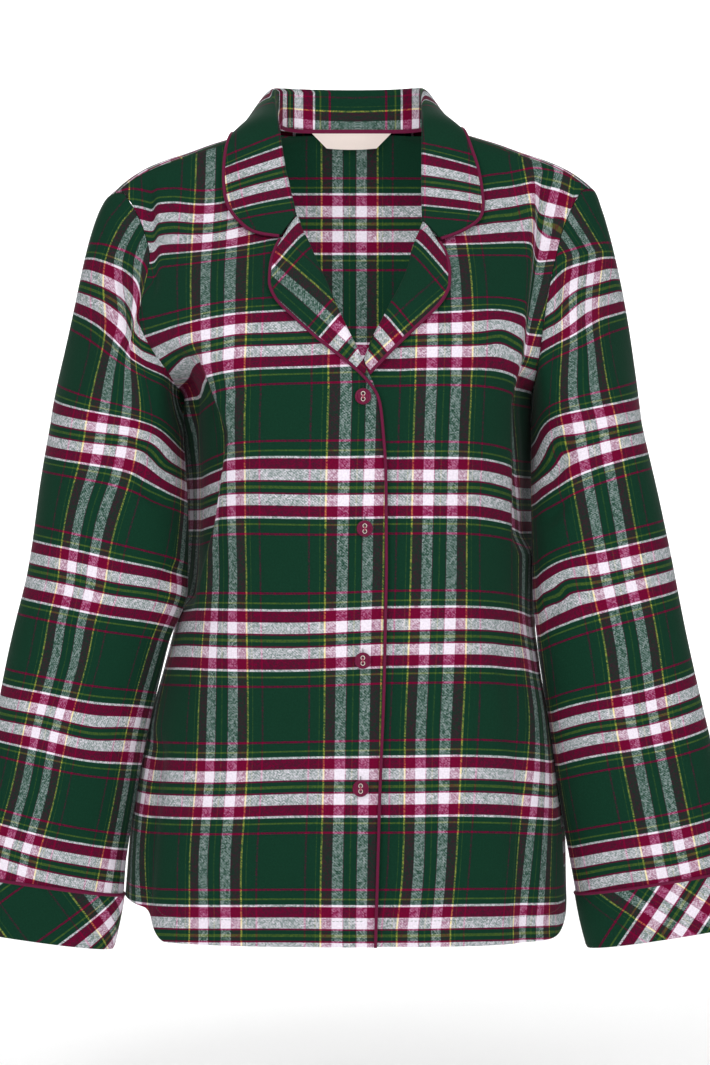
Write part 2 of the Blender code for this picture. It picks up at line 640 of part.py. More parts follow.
def lapel_grid(table, rows=11, columns=6):
    along = np.linspace(0.0, 1.0, rows)[:, None]
    share = np.array([0.0, 0.10, 0.25, 0.50, 0.75, 1.0])[None, :columns]
    x = table.at(along, "roll_x") * (1 - share) + table.at(along, "edge_x") * share
    z = table.at(along, "roll_z") * (1 - share) + table.at(along, "edge_z") * share
    base = on_front(x, z)
    lift = LAPEL_LIFT + (LAPEL_EDGE_LIFT - LAPEL_LIFT) * share
    lift = lift + LAPEL_CROWN * np.sin(np.pi * share ** 0.5)
    return base + front_normals(base) * lift[..., None]


# ---------------------------------------------------------------- collar
# Stations along the collar from the right notch over the back to the left one.  The seam joins
# it to the neckline, the roll is the inner side of the fold, and the edge lies on the body at
# "edge_x", "edge_q" of level past the ridge, behind it if positive.
COLLAR = Table("along seam_x seam_y seam_z roll_x roll_y roll_z edge_x edge_q up_y", [
    (-1.00, -0.0452, -0.0548, -0.0790, -0.0454, -0.0598, -0.0788, -0.0574, -0.1063, -0.80),
    (-0.94, -0.0468, -0.0512, -0.0745, -0.0466, -0.0568, -0.0745, -0.0690, -0.1025, -0.82),
    (-0.88, -0.0488, -0.0472, -0.0685, -0.0478, -0.0530, -0.0685, -0.0795, -0.0972, -0.85),
    (-0.82, -0.0508, -0.0442, -0.0635, -0.0491, -0.0502, -0.0635, -0.0880, -0.0880, -0.87),
    (-0.76, -0.0530, -0.0415, -0.0580, -0.0504, -0.0475, -0.0580, -0.0952, -0.0765, -0.89),
    (-0.68, -0.0553, -0.0380, -0.0505, -0.0520, -0.0445, -0.0505, -0.1008, -0.0590, -0.90),
    (-0.60, -0.0575, -0.0350, -0.0430, -0.0540, -0.0415, -0.0430, -0.1022, -0.0376, -0.88),
    (-0.52, -0.0632, -0.0280, -0.0240, -0.0568, -0.0345, -0.0260, -0.1010, -0.0180, -0.75),
    (-0.45, -0.0660, -0.0170, -0.0055, -0.0596, -0.0220, -0.0060, -0.0970, -0.0040, -0.45),
    (-0.37, -0.0668, 0.0040, 0.0002, -0.0622, -0.0020, 0.0085, -0.0950, 0.0008, -0.15),
    (-0.29, -0.0618, 0.0240, -0.0002, -0.0640, 0.0160, 0.0195, -0.0925, 0.0040, 0.00),
    (-0.21, -0.0545, 0.0435, -0.0010, -0.0625, 0.0360, 0.0275, -0.0830, 0.0105, 0.00),
    (-0.14, -0.0440, 0.0550, -0.0008, -0.0530, 0.0530, 0.0315, -0.0660, 0.0230, 0.05),
    (-0.07, -0.0240, 0.0620, -0.0003, -0.0280, 0.0640, 0.0325, -0.0380, 0.0370, 0.10),
    (0.00, 0.0000, 0.0645, 0.0000, -0.0040, 0.0660, 0.0325, 0.0000, 0.0420, 0.10),
    (0.07, 0.0240, 0.0620, -0.0003, 0.0210, 0.0640, 0.0325, 0.0320, 0.0380, 0.10),
    (0.14, 0.0440, 0.0550, -0.0008, 0.0430, 0.0530, 0.0315, 0.0560, 0.0250, 0.05),
    (0.21, 0.0535, 0.0435, -0.0010, 0.0515, 0.0360, 0.0285, 0.0710, 0.0125, 0.00),
    (0.29, 0.0590, 0.0240, -0.0002, 0.0530, 0.0160, 0.0205, 0.0790, 0.0050, 0.00),
    (0.37, 0.0625, 0.0040, 0.0010, 0.0530, -0.0020, 0.0095, 0.0815, 0.0010, -0.15),
    (0.45, 0.0618, -0.0170, -0.0035, 0.0528, -0.0220, -0.0045, 0.0850, -0.0040, -0.45),
    (0.52, 0.0605, -0.0280, -0.0230, 0.0525, -0.0345, -0.0240, 0.0905, -0.0180, -0.75),
    (0.60, 0.0575, -0.0350, -0.0430, 0.0522, -0.0415, -0.0430, 0.0955, -0.0340, -0.88),
    (0.68, 0.0562, -0.0385, -0.0520, 0.0521, -0.0450, -0.0520, 0.0982, -0.0520, -0.90),
    (0.76, 0.0552, -0.0425, -0.0600, 0.0521, -0.0490, -0.0600, 0.0992, -0.0690, -0.89),
    (0.82, 0.0545, -0.0462, -0.0665, 0.0521, -0.0525, -0.0665, 0.0972, -0.0800, -0.87),
    (0.88, 0.0538, -0.0500, -0.0725, 0.0521, -0.0558, -0.0725, 0.0910, -0.0890, -0.84),
    (0.94, 0.0532, -0.0540, -0.0780, 0.0522, -0.0595, -0.0780, 0.0800, -0.0985, -0.80),
    (1.00, 0.0512, -0.0594, -0.0828, 0.0524, -0.0640, -0.0838, 0.0650, -0.1075, -0.76),
])
COLLAR_ROLL = 0.0034     # radius of the fold
COLLAR_LIFT = 0.0046     # height of the collar's edge above the body


def on_body(x, q):
    """A point of the body form by its distance from the middle and past the ridge."""
    level = RIDGE - np.abs(q)
    side = np.where(x < 0, -1, 1)
    front = torso(angle_of(x, level, side, "front"), level, side, "front")
    back = torso(angle_of(x, level, side, "back"), level, side, "back")
    return np.where((q < 0)[..., None], front, back)


def body_normals(x, q, step=0.0012):
    """Outward directions of the body form; q runs from the front over the ridge to the back."""
    across = on_body(x + step, q) - on_body(x - step, q)
    backward = on_body(x, q + step) - on_body(x, q - step)
    return unit(np.cross(across, backward))


def collar_grid(stations=27, fall_columns=4):
    """Rows along the collar; each crosses it from the neck seam over the fold to the edge."""
    along = np.linspace(-1.0, 1.0, stations)

    def column(name):
        return COLLAR.at(along, name)

    seam = np.stack([column("seam_x"), column("seam_y"), column("seam_z")], axis=-1)
    roll = np.stack([column("roll_x"), column("roll_y"), column("roll_z")], axis=-1)
    edge = on_body(column("edge_x"), column("edge_q"))
    edge = edge + body_normals(column("edge_x"), column("edge_q")) * COLLAR_LIFT
    lean = column("up_y")
    up = np.stack([np.zeros_like(lean), lean, np.sqrt(1 - lean ** 2)], axis=-1)
    out = edge - roll
    out = unit(out - up * (out * up).sum(axis=1, keepdims=True))
    middle = roll + out * COLLAR_ROLL
    shoulder = middle + (up - out) * (COLLAR_ROLL * math.sqrt(0.5))
    top = middle + up * COLLAR_ROLL
    reach = ((edge - top) * out).sum(axis=1, keepdims=True)
    lead = top + out * (0.55 * reach + 0.003)
    lines = [seam, (seam + roll) / 2, roll, shoulder, top]
    for share in np.linspace(0.0, 1.0, fall_columns + 1)[1:]:
        lines.append(top * (1 - share) ** 2 + lead * (2 * share * (1 - share)) + edge * share ** 2)
    return np.stack(lines, axis=1)


def cord_beside(edge, inside, normals):
    """The path of a piping sewn along an edge, given a line of points just inside the edge."""
    away = edge - inside
    along = unit(np.gradient(edge, axis=0))
    for direction in (normals, along):
        away = away - direction * (away * direction).sum(axis=1, keepdims=True)
    return edge + unit(away) * (PIPING_RADIUS + PIPING_GAP)


def shorten(path, first, last):
    """The same line, drawn back from its two ends by these lengths."""
    path = path.copy()
    path[0] += unit(path[1] - path[0]) * first
    path[-1] += unit(path[-2] - path[-1]) * last
    return path


def build_collar_and_lapels(front_edge):
    """The front edge is the line of points down the right front's inner edge."""
    collar = collar_grid()
    add_sheet("collar", collar, COLLAR_WALL, GREEN, outward=-normals_of(collar))
    along = np.linspace(-1.0, 1.0, len(collar))
    normals = body_normals(COLLAR.at(along, "edge_x"), COLLAR.at(along, "edge_q"))
    path = cord_beside(collar[:, -1], collar[:, -2], normals)
    add_tube("piping_collar", shorten(path, NOTCH_GAP, NOTCH_GAP), PIPING_RADIUS, BURGUNDY)
    right, left = lapel_grid(LAPEL_RIGHT), lapel_grid(LAPEL_LEFT)
    add_sheet("lapel_right", right, LAPEL_WALL, GREEN, outward=normals_of(right))
    add_sheet("lapel_left", left, LAPEL_WALL, GREEN, outward=-normals_of(left))
    paths = [cord_beside(grid[:, -1], grid[:, -2], front_normals(grid[:, -1])) for grid in (right, left)]
    lapping = front_edge[front_edge[:, 2] < LAPPING_TOP] + (PIPING_RADIUS + 2 * PIPING_GAP, -0.0004, 0.0)
    whole = np.concatenate([paths[0], lapping])
    add_tube("piping_front_right", shorten(whole, NOTCH_GAP, 0.0), PIPING_RADIUS, BURGUNDY)
    add_tube("piping_lapel_left", shorten(paths[1], NOTCH_GAP, 0.0), PIPING_RADIUS, BURGUNDY)


# ---------------------------------------------------------------- neck tape, label, buttons
TAPE_HEIGHT = 0.0032
TAPE_RISE = 0.0026       # the tape's top edge above the neck seam
LABEL_TOP = 0.0325       # half widths of the label
LABEL_FOOT = 0.0205
LABEL_HEIGHT = 0.0120
LABEL_WALL = 0.0006
LABEL_BACK = 0.0035      # the label's foot lies this much nearer the back than its top
TRIM_CLEARANCE = 0.0014  # from the neck seam to the face of the tape
LABEL_X = -0.0028
TAPE_STATIONS = (-0.2308, -0.1538, -0.0769, 0.0, 0.0769, 0.1538, 0.2308)


def neck_line():
    """The neck seam at the back, moved just inside the stand, at the stand's own stations."""
    along = np.array(TAPE_STATIONS)
    seam = np.stack([COLLAR.at(along, "seam_" + axis) for axis in "xyz"], axis=-1)
    return seam - unit(seam * (1.0, 1.0, 0.0)) * TRIM_CLEARANCE


def build_tape_and_label():
    line = neck_line()
    rises = np.array([TAPE_RISE, TAPE_RISE - TAPE_HEIGHT])
    tape = line[None] + rises[:, None, None] * np.array([0.0, 0.02, 1.0])
    toward = np.array([0.0, -1.0, 0.0]) + 0.0 * tape
    add_sheet("neck_tape", tape, 0.0007, BURGUNDY, outward=toward)
    share = np.linspace(-1.0, 1.0, 7)[None, :]
    down = np.linspace(0.0, 1.0, 4)[:, None]
    x = LABEL_X + (LABEL_TOP + (LABEL_FOOT - LABEL_TOP) * down) * share
    y = np.interp(x, line[:, 0], line[:, 1]) + LABEL_BACK * down
    z = np.interp(x, line[:, 0], line[:, 2]) + TAPE_RISE - TAPE_HEIGHT - 0.0003 - LABEL_HEIGHT * down
    label = np.stack([x, y, z], axis=-1)
    add_sheet("label", label, LABEL_WALL, CREAM, outward=np.array([0.0, -1.0, 0.0]) + 0.0 * label)


def button_profile():
    """Half the section of a button: flat back, rounded rim, and a dished face."""
    radius, thick = BUTTON_RADIUS, BUTTON_THICK
    return [(0.0, 0.0), (radius - 0.0008, 0.0), (radius, 0.0008), (radius, thick - 0.0007),
            (radius - 0.0006, thick), (radius - 0.0014, thick), (radius - 0.0021, thick - 0.0006),
            (0.0, thick - 0.0008)]


def build_button(name, x, z):
    """A two-hole button, its holes one above the other, standing just off the right front."""
    turned = bpy.data.meshes.new(name)
    shape = bmesh.new()
    sides = 16
    rings = []
    for radius, height in button_profile():
        if radius == 0.0:
            rings.append([shape.verts.new((0, 0, height))])
            continue
        rings.append([shape.verts.new((radius * math.cos(2 * math.pi * k / sides),
                                       radius * math.sin(2 * math.pi * k / sides), height))
                      for k in range(sides)])
    for lower, upper in zip(rings, rings[1:]):
        for k in range(sides):
            m = (k + 1) % sides
            if len(lower) == 1:
                shape.faces.new([lower[0], upper[m], upper[k]])
            elif len(upper) == 1:
                shape.faces.new([lower[k], lower[m], upper[0]])
            else:
                shape.faces.new([lower[k], lower[m], upper[m], upper[k]])
    bmesh.ops.recalc_face_normals(shape, faces=shape.faces)
    shape.to_mesh(turned)
    shape.free()
    button = bpy.data.objects.new(name, turned)
    bpy.context.collection.objects.link(button)
    base = on_front(np.array(x), np.array(z))
    outward = Vector(front_normals(base))
    seat = Vector(base) + outward * SEAM_GAP
    up = (Vector((0, 0, 1)) - outward * outward.z).normalized()
    right = up.cross(outward)
    button.matrix_world = Matrix.Translation(seat) @ Matrix((right, up, outward)).transposed().to_4x4()
    for number, offset in enumerate((-BUTTON_HOLE_OFFSET, BUTTON_HOLE_OFFSET)):
        bpy.ops.mesh.primitive_cylinder_add(vertices=8, radius=BUTTON_HOLE_RADIUS, depth=0.01)
        drill = bpy.context.object
        drill.name = f"drill_{name}_{number}"
        turned_drill = Matrix.Translation((0, offset, 0)) @ Matrix.Rotation(DRILL_TURN, 4, "Z")
        drill.matrix_world = button.matrix_world @ turned_drill
        drill.hide_render = True
        drill.display_type = "WIRE"
        cut = button.modifiers.new(f"hole_{number}", "BOOLEAN")
        cut.operation = "DIFFERENCE"
        cut.solver = "EXACT"
        cut.object = drill
    material = bpy.data.materials.new(name)
    material.use_nodes = True
    shader = material.node_tree.nodes["Principled BSDF"]
    shader.inputs["Base Color"].default_value = (*BURGUNDY, 1.0)
    shader.inputs["Roughness"].default_value = 0.3
    turned.materials.append(material)
    turned.shade_smooth()
    turned.set_sharp_from_angle(angle=math.radians(35))


def build_buttons():
    for number, (x, z) in enumerate(zip(BUTTON_X, BUTTON_HEIGHTS), start=1):
        build_button(f"button_{number}", x, z)


def clear_scene():
    for thing in list(bpy.data.objects):
        bpy.data.objects.remove(thing, do_unlink=True)


clear_scene()
build_collar_and_lapels(build_body_and_sleeves())
build_tape_and_label()
build_buttons()
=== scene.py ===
# %% [markdown]
# # A plaid flannel pajama top
#
# The top is filled out as if someone wore it, with nothing inside.  It is sewn from two
# fronts, a back, two sleeves with cuffs, a notched collar, and lapels that are the fronts'
# facings turned out.  Each piece here is a thin shell on its solid's form, with finer rings
# and the small creases added; the body is a few millimetres wider at the sides than its
# solid.  Metres, +Z up, the front faces -Y; "right" and "left" are the wearer's, so the
# wearer's right lies at -X.

# %% Tools
import math

import bmesh
import bpy
import numpy as np
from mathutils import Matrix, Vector


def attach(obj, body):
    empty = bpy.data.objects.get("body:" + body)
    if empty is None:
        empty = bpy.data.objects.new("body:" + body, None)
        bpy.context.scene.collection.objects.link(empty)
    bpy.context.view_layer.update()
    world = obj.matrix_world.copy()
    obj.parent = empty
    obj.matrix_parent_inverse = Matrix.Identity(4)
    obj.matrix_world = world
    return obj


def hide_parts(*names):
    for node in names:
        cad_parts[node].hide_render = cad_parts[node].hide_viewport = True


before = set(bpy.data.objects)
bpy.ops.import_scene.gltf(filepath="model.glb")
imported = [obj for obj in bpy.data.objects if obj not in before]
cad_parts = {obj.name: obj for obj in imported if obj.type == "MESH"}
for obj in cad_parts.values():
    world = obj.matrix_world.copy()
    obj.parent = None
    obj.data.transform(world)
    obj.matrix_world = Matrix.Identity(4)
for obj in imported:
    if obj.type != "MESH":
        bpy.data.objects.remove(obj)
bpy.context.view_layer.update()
print("frame nodes:", len(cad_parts))

# %% [markdown]
# ## Tables of sizes
# Sizes that change along a piece stand in a table under named columns.  The table is read
# with a monotone cubic, which passes through every row and never overshoots between two.

# %% Two curves used throughout
def smooth(share):
    """A soft step from 0 to 1, level at both ends."""
    return share * share * (3 - 2 * share)


def hermite(u, low, rise, high, fall):
    """A cubic from low to high that leaves with one slope and arrives with the other."""
    return ((1 + 2 * u) * (1 - u) ** 2 * low + u * (1 - u) ** 2 * rise
            + u * u * (3 - 2 * u) * high + u * u * (u - 1) * fall)


# %% A table that reads smoothly between its rows
class Table:
    def __init__(self, columns, rows):
        self.columns = columns.split()
        data = np.array(sorted(rows), float)
        self.keys, self.values = data[:, 0], data[:, 1:]
        step = np.diff(self.keys)[:, None]
        secant = np.diff(self.values, axis=0) / step
        slopes = np.zeros_like(self.values)
        slopes[0], slopes[-1] = secant[0], secant[-1]
        before, after = secant[:-1], secant[1:]
        same = before * after > 0
        total = np.where(same, before + after, 1.0)
        slopes[1:-1] = np.where(same, 2.0 * before * after / total, 0.0)
        self.slopes = slopes

    def at(self, key, column):
        col = self.columns.index(column) - 1
        key = np.clip(np.asarray(key, float), self.keys[0], self.keys[-1])
        row = np.clip(np.searchsorted(self.keys, key, "right") - 1, 0, len(self.keys) - 2)
        width = self.keys[row + 1] - self.keys[row]
        u = (key - self.keys[row]) / width
        low, high = self.values[row, col], self.values[row + 1, col]
        rise, fall = width * self.slopes[row, col], width * self.slopes[row + 1, col]
        return hermite(u, low, rise, high, fall)


# %% [markdown]
# ## The body's form
# The body is a stack of level rings, each a rounded rectangle (a superellipse).  The rings
# tilt down along the shoulders' slope near the top and lie flat from the underarm down.

# %% Sizes of the body
WALL = 0.0012            # the cloth; the solids are a little thicker
RIDGE = 0.014            # level of the top of the shoulders
SHOULDER_SEAM = 0.007    # the seam lies a little in front of the ridge
UNDERARM = -0.221
HEM_START, HEM_CENTRE, HEM_SIDE, HEM_SWEEP = -0.50, -0.645, -0.616, 0.26
HEM_STEP_END, HEM_STEP_WIDTH = 0.74, 0.28
FRONT_POWER, BACK_POWER = 2.7, 2.5
SLOPE_FADE = 1.4
SEAM_FORWARD, SEAM_TURNS_FROM, SEAM_TURNS_OVER = 0.20, -0.30, 0.15

SHOULDER = Table("x drop", [
    (-0.020, 0.0017), (0.000, 0.0000), (0.020, 0.0017), (0.040, 0.0063), (0.060, 0.0127),
    (0.075, 0.0181), (0.095, 0.0243), (0.114, 0.0300), (0.134, 0.0372), (0.151, 0.0428),
    (0.168, 0.0500), (0.182, 0.0590), (0.193, 0.0686), (0.205, 0.0790), (0.222, 0.0930),
])
BODY = Table("level half_right half_left front side back", [
    (0.014, 0.2220, 0.2160, 0.000, 0.000, 0.000),
    (0.012, 0.2210, 0.2150, -0.011, 0.000, 0.024),
    (0.007, 0.2170, 0.2120, -0.019, 0.000, 0.048),
    (0.000, 0.2110, 0.2080, -0.025, 0.000, 0.065),
    (-0.020, 0.2050, 0.2020, -0.031, 0.000, 0.079),
    (-0.040, 0.2000, 0.1960, -0.037, 0.000, 0.087),
    (-0.060, 0.1940, 0.1920, -0.046, 0.000, 0.092),
    (-0.080, 0.1900, 0.1870, -0.060, 0.000, 0.096),
    (-0.100, 0.1870, 0.1800, -0.076, 0.000, 0.099),
    (-0.130, 0.1880, 0.1700, -0.097, 0.001, 0.103),
    (-0.160, 0.1830, 0.1610, -0.111, 0.002, 0.106),
    (-0.190, 0.1640, 0.1530, -0.117, 0.003, 0.107),
    (-0.221, 0.1367, 0.1406, -0.120, 0.004, 0.106),
    (-0.232, 0.1378, 0.1407, -0.121, 0.010, 0.106),
    (-0.250, 0.1390, 0.1427, -0.121, 0.024, 0.106),
    (-0.300, 0.1390, 0.1452, -0.121, 0.042, 0.105),
    (-0.350, 0.1390, 0.1452, -0.121, 0.042, 0.104),
    (-0.390, 0.1429, 0.1443, -0.121, 0.034, 0.103),
    (-0.430, 0.1515, 0.1480, -0.121, 0.020, 0.101),
    (-0.475, 0.1637, 0.1552, -0.120, 0.012, 0.101),
    (-0.530, 0.1748, 0.1626, -0.120, 0.012, 0.103),
    (-0.580, 0.1804, 0.1671, -0.119, 0.012, 0.106),
    (-0.645, 0.1840, 0.1695, -0.118, 0.012, 0.108),
])
ARMHOLE = Table("level right left", [
    (0.014, 0.1965, 0.1910), (0.000, 0.1850, 0.1820), (-0.030, 0.1750, 0.1720),
    (-0.060, 0.1665, 0.1640), (-0.090, 0.1615, 0.1580), (-0.120, 0.1650, 0.1525),
    (-0.150, 0.1690, 0.1485), (-0.180, 0.1590, 0.1450), (-0.200, 0.1470, 0.1430),
    (-0.221, 0.1370, 0.1410),
])
EDGE_RIGHT = Table("height x", [
    (-0.001, -0.0745), (-0.030, -0.0660), (-0.058, -0.0575), (-0.077, -0.0512),
    (-0.088, -0.0440), (-0.0975, -0.0380), (-0.125, -0.0262), (-0.157, -0.0123), (-0.1925, 0.0054),
    (-0.2087, 0.0124), (-0.219, 0.0160), (-0.230, 0.0190), (-0.2485, 0.0207),
    (-0.280, 0.0225), (-0.431, 0.0230), (-0.537, 0.0199), (-0.645, 0.0168),
])
EDGE_LEFT = Table("height x", [
    (-0.001, 0.0680), (-0.030, 0.0640), (-0.058, 0.0600), (-0.080, 0.0580),
    (-0.091, 0.0530), (-0.101, 0.0458), (-0.125, 0.0396), (-0.1495, 0.0280), (-0.1787, 0.0124),
    (-0.191, 0.0077), (-0.215, -0.0080), (-0.235, -0.0120), (-0.645, -0.0120),
])
BACK_NECK = Table("x depth", [
    (0.000, 0.0660), (0.020, 0.0650), (0.040, 0.0600), (0.053, 0.0520),
    (0.062, 0.0400), (0.067, 0.0200), (0.0715, 0.0000),
])
NECK_POINT = 0.0690


# %% A point of the body by its level and its turn round the ring
def levels_slope(level):
    share = np.clip((level - UNDERARM) / (RIDGE - UNDERARM), 0.0, 1.0)
    return share ** SLOPE_FADE


def shoulder_drop(x):
    return SHOULDER.at(np.abs(x), "drop")


def level_at(x, height):
    level = np.asarray(height, float)
    for _ in range(30):
        level = height + shoulder_drop(x) * levels_slope(np.minimum(level, RIDGE))
    return np.minimum(level, RIDGE)


def half_width(level, side):
    return np.where(side < 0, BODY.at(level, "half_right"), BODY.at(level, "half_left"))


def hem_rise(away, side):
    """Rise of the hem toward a side seam; on the right side it comes as one soft step."""
    sweep = np.exp(-(away / HEM_SWEEP) ** 2)
    step = smooth(np.clip((HEM_STEP_END - away) / HEM_STEP_WIDTH, 0.0, 1.0))
    step = step * (1.0 - 0.7 * np.minimum(away, 0.5) ** 2)
    return (HEM_SIDE - HEM_CENTRE) * np.where(side < 0, step, sweep)


def torso(angle, level, side, face):
    angle, level, side = np.broadcast_arrays(*map(np.asarray, (angle, level, side)))
    is_front = (angle <= math.pi / 2) == (face == "front")
    turn = np.minimum(angle, math.pi - angle)
    power = np.where(is_front, FRONT_POWER, BACK_POWER)
    sine = np.clip(np.sin(turn), 0.0, 1.0) ** (2.0 / power)
    lean = np.clip(np.cos(turn), 0.0, 1.0) ** (2.0 / power)
    x = side * half_width(level, side) * sine
    middle = BODY.at(level, "side")
    depth = np.where(is_front, BODY.at(level, "front"), BODY.at(level, "back"))
    y = middle + (depth - middle) * lean
    z = level - shoulder_drop(x) * levels_slope(level)
    rise = hem_rise(math.pi / 2 - turn, side)
    below = np.minimum(level - HEM_START, 0.0) / (HEM_CENTRE - HEM_START)
    return np.stack([x, y, z + below ** 2 * rise], axis=-1)


def angle_of(x, level, side, face):
    power = FRONT_POWER if face == "front" else BACK_POWER
    share = np.clip(np.abs(x) / half_width(level, side), 0.0, 1.0)
    return np.arcsin(share ** (power / 2.0))


def outer_angle(level, side, face):
    """Where a panel ends: at the armhole, and below it at the side seam."""
    hole = np.where(side < 0, ARMHOLE.at(level, "right"), ARMHOLE.at(level, "left"))
    turned = np.clip((SEAM_TURNS_FROM - level) / SEAM_TURNS_OVER, 0.0, 1.0)
    seam = math.pi / 2 - np.where(side > 0, SEAM_FORWARD, 0.0) * turned
    if face == "back":
        seam = math.pi - seam
    return np.where(level > UNDERARM, angle_of(hole, level, side, face), seam)


# %% [markdown]
# ## Sheets of cloth
# Every piece of cloth starts as a grid of points.  A second grid one cloth's thickness inside
# it and a rim join it into a closed wall.  Each point also carries its place in the cloth, in
# repeats of the plaid, as a UV map, so the checks bend with the cloth as woven ones do.

# %% Vectors and grids
WARP_REPEAT, WEFT_REPEAT = 0.1020, 0.1142


def unit(vectors):
    length = np.linalg.norm(vectors, axis=-1, keepdims=True)
    return vectors / np.maximum(length, 1e-12)


def normals_of(grid, closed=False):
    down = np.gradient(grid, axis=0, edge_order=2)
    if closed:
        across = np.roll(grid, -1, axis=1) - np.roll(grid, 1, axis=1)
    else:
        across = np.gradient(grid, axis=1, edge_order=2)
    return unit(np.cross(across, down))


def toward_front(grid):
    """Normals of an open grid, on the side that faces the front."""
    out = normals_of(grid)
    return out * np.sign(-out[..., 1].sum())


def out_of_tube(grid):
    """Normals of a closed grid, on its outer side."""
    out = normals_of(grid, closed=True)
    return out * np.sign((out * (grid - grid.mean(axis=1, keepdims=True))).sum())


def travel(points, axis):
    """Length along each line of a grid, from its start."""
    step = np.linalg.norm(np.diff(points, axis=axis), axis=-1)
    pad = [(0, 0)] * step.ndim
    pad[axis] = (1, 0)
    return np.cumsum(np.pad(step, pad), axis=axis)


# %% One sheet as a mesh
def add_mesh(name, vertices, faces, material):
    mesh = bpy.data.meshes.new(name)
    mesh.from_pydata([tuple(map(float, v)) for v in vertices], [], faces)
    piece = bpy.data.objects.new(name, mesh)
    bpy.context.collection.objects.link(piece)
    mesh.materials.append(material)
    mesh.shade_smooth()
    return piece


def mend(piece):
    """Point every face of a closed wall outwards."""
    shape = bmesh.new()
    shape.from_mesh(piece.data)
    bmesh.ops.recalc_face_normals(shape, faces=shape.faces)
    if shape.calc_volume(signed=True) < 0:
        bmesh.ops.reverse_faces(shape, faces=shape.faces)
    shape.to_mesh(piece.data)
    shape.free()


def add_cloth(name, grid, places, wall, outward, material, closed=False):
    """A closed wall under a grid; places are the grid's warp and weft coordinates in metres."""
    rows, cols = grid.shape[:2]
    count, last = rows * cols, cols if closed else cols - 1
    inside = count * np.array([0, 0, 1, 1])

    def strip(corners, layers):
        rows_of, cols_of = (np.stack([np.ravel(c[k]) for c in corners], axis=1) for k in (0, 1))
        return rows_of * cols + cols_of % cols + layers, places[rows_of, cols_of]

    i, j = np.meshgrid(np.arange(rows - 1), np.arange(last), indexing="ij")
    quad = [(i, j), (i, j + 1), (i + 1, j + 1), (i + 1, j)]
    strips = [strip(quad, 0), strip(quad[::-1], count)]
    b, a = np.arange(last), np.arange(rows - 1)
    for end in (b * 0, b * 0 + rows - 1):
        strips.append(strip([(end, b), (end, b + 1), (end, b + 1), (end, b)], inside))
    for end in () if closed else (a * 0, a * 0 + cols - 1):
        strips.append(strip([(a, end), (a + 1, end), (a + 1, end), (a, end)], inside))
    faces = np.concatenate([numbers for numbers, _ in strips])
    maps = np.concatenate([mapped for _, mapped in strips]) / (WARP_REPEAT, WEFT_REPEAT)
    points = np.concatenate([grid.reshape(-1, 3), (grid - outward * wall).reshape(-1, 3)])
    piece = add_mesh(name, points, faces.tolist(), material)
    layer = piece.data.uv_layers.new(name="cloth")
    layer.data.foreach_set("uv", maps.reshape(-1).astype(np.float32))
    mend(piece)
    piece.data.set_sharp_from_angle(angle=math.radians(55))
    width, height = travel(grid, 1)[:, -1].max(), travel(grid, 0)[-1].max()
    area = np.linalg.norm(np.cross(grid[1:, :-1] - grid[:-1, :-1], grid[:-1, 1:] - grid[:-1, :-1]),
                          axis=-1).sum()
    print(f"{name}: {len(faces)} faces, {width:.3f} x {height:.3f} m, {area:.4f} m2 of cloth")
    return piece


# %% [markdown]
# ## Where the plaid lies
# Cloth hangs a little off its straight grain.  A chart lists a few places of a panel and which
# line of the plaid runs there.  A thin-plate spline, the shape that a bent metal sheet takes,
# spreads the difference from the straight grain smoothly over the panel.

# %% Charts of the plaid
STIFFNESS = 1e-6         # lets the surface pass a hair beside a charted place
LEVELLING = 1e-4         # holds the surface level across a chart whose places lie in a row
BESIDE = 0.08            # how far beside a single charted line the cloth is held straight


def thin_plate(where, values):
    """A smooth surface near these values."""
    def kernel(a, b):
        square = ((a[:, None] - b[None]) ** 2).sum(-1)
        return 0.5 * square * np.log(square + 1e-12)

    count = len(where)
    linear = np.concatenate([np.ones((count, 1)), where], axis=1)
    system = np.zeros((count + 3, count + 3))
    system[:count, :count] = kernel(where, where) + STIFFNESS * np.eye(count)
    system[:count, count:] = linear
    system[count:, :count] = linear.T
    system[count + 1:, count + 1:] = -LEVELLING * np.eye(2)
    weights = np.linalg.solve(system, np.concatenate([values, np.zeros(3)]))
    low, high = where.min(axis=0), where.max(axis=0)

    def surface(points):
        points = np.clip(points, low, high)
        flat = points.reshape(-1, 2)
        result = kernel(flat, where) @ weights[:count] + weights[count] + flat @ weights[count + 1:]
        return result.reshape(points.shape[:-1])

    return surface


def lay(grid, grain, warp_chart, weft_chart, seen=None):
    """Plaid coordinates of a panel: its straight grain, bent to fit the two charts."""
    usable = np.ones(grid.shape[:2], bool) if seen is None else seen
    flat, straight = grid[usable], grain[usable]
    places = grain.copy()
    for axis, chart in enumerate((warp_chart, weft_chart)):
        rows = np.array([(x, z, line) for line, spots in chart.items() for x, z in spots])
        gap = ((flat[None, :, [0, 2]] - rows[:, None, :2]) ** 2).sum(-1)
        nearest = gap.argmin(axis=1)
        where, off = straight[nearest], rows[:, 2] / 1000 - straight[nearest, axis]
        if np.ptp(rows[:, 2]) == 0:      # one line only: hold the cloth beside it straight
            beside = np.eye(2)[axis] * BESIDE
            where, off = np.concatenate([where, where + beside, where - beside]), np.tile(off, 3)
        places[..., axis] = grain[..., axis] + thin_plate(where, off)(grain)
    return places


# %% [markdown]
# ## Shader maths
# A small class wraps a socket, so that an expression in Python adds its Math nodes.  Colours
# and vectors go through their own nodes, because a Math node would turn a colour grey.

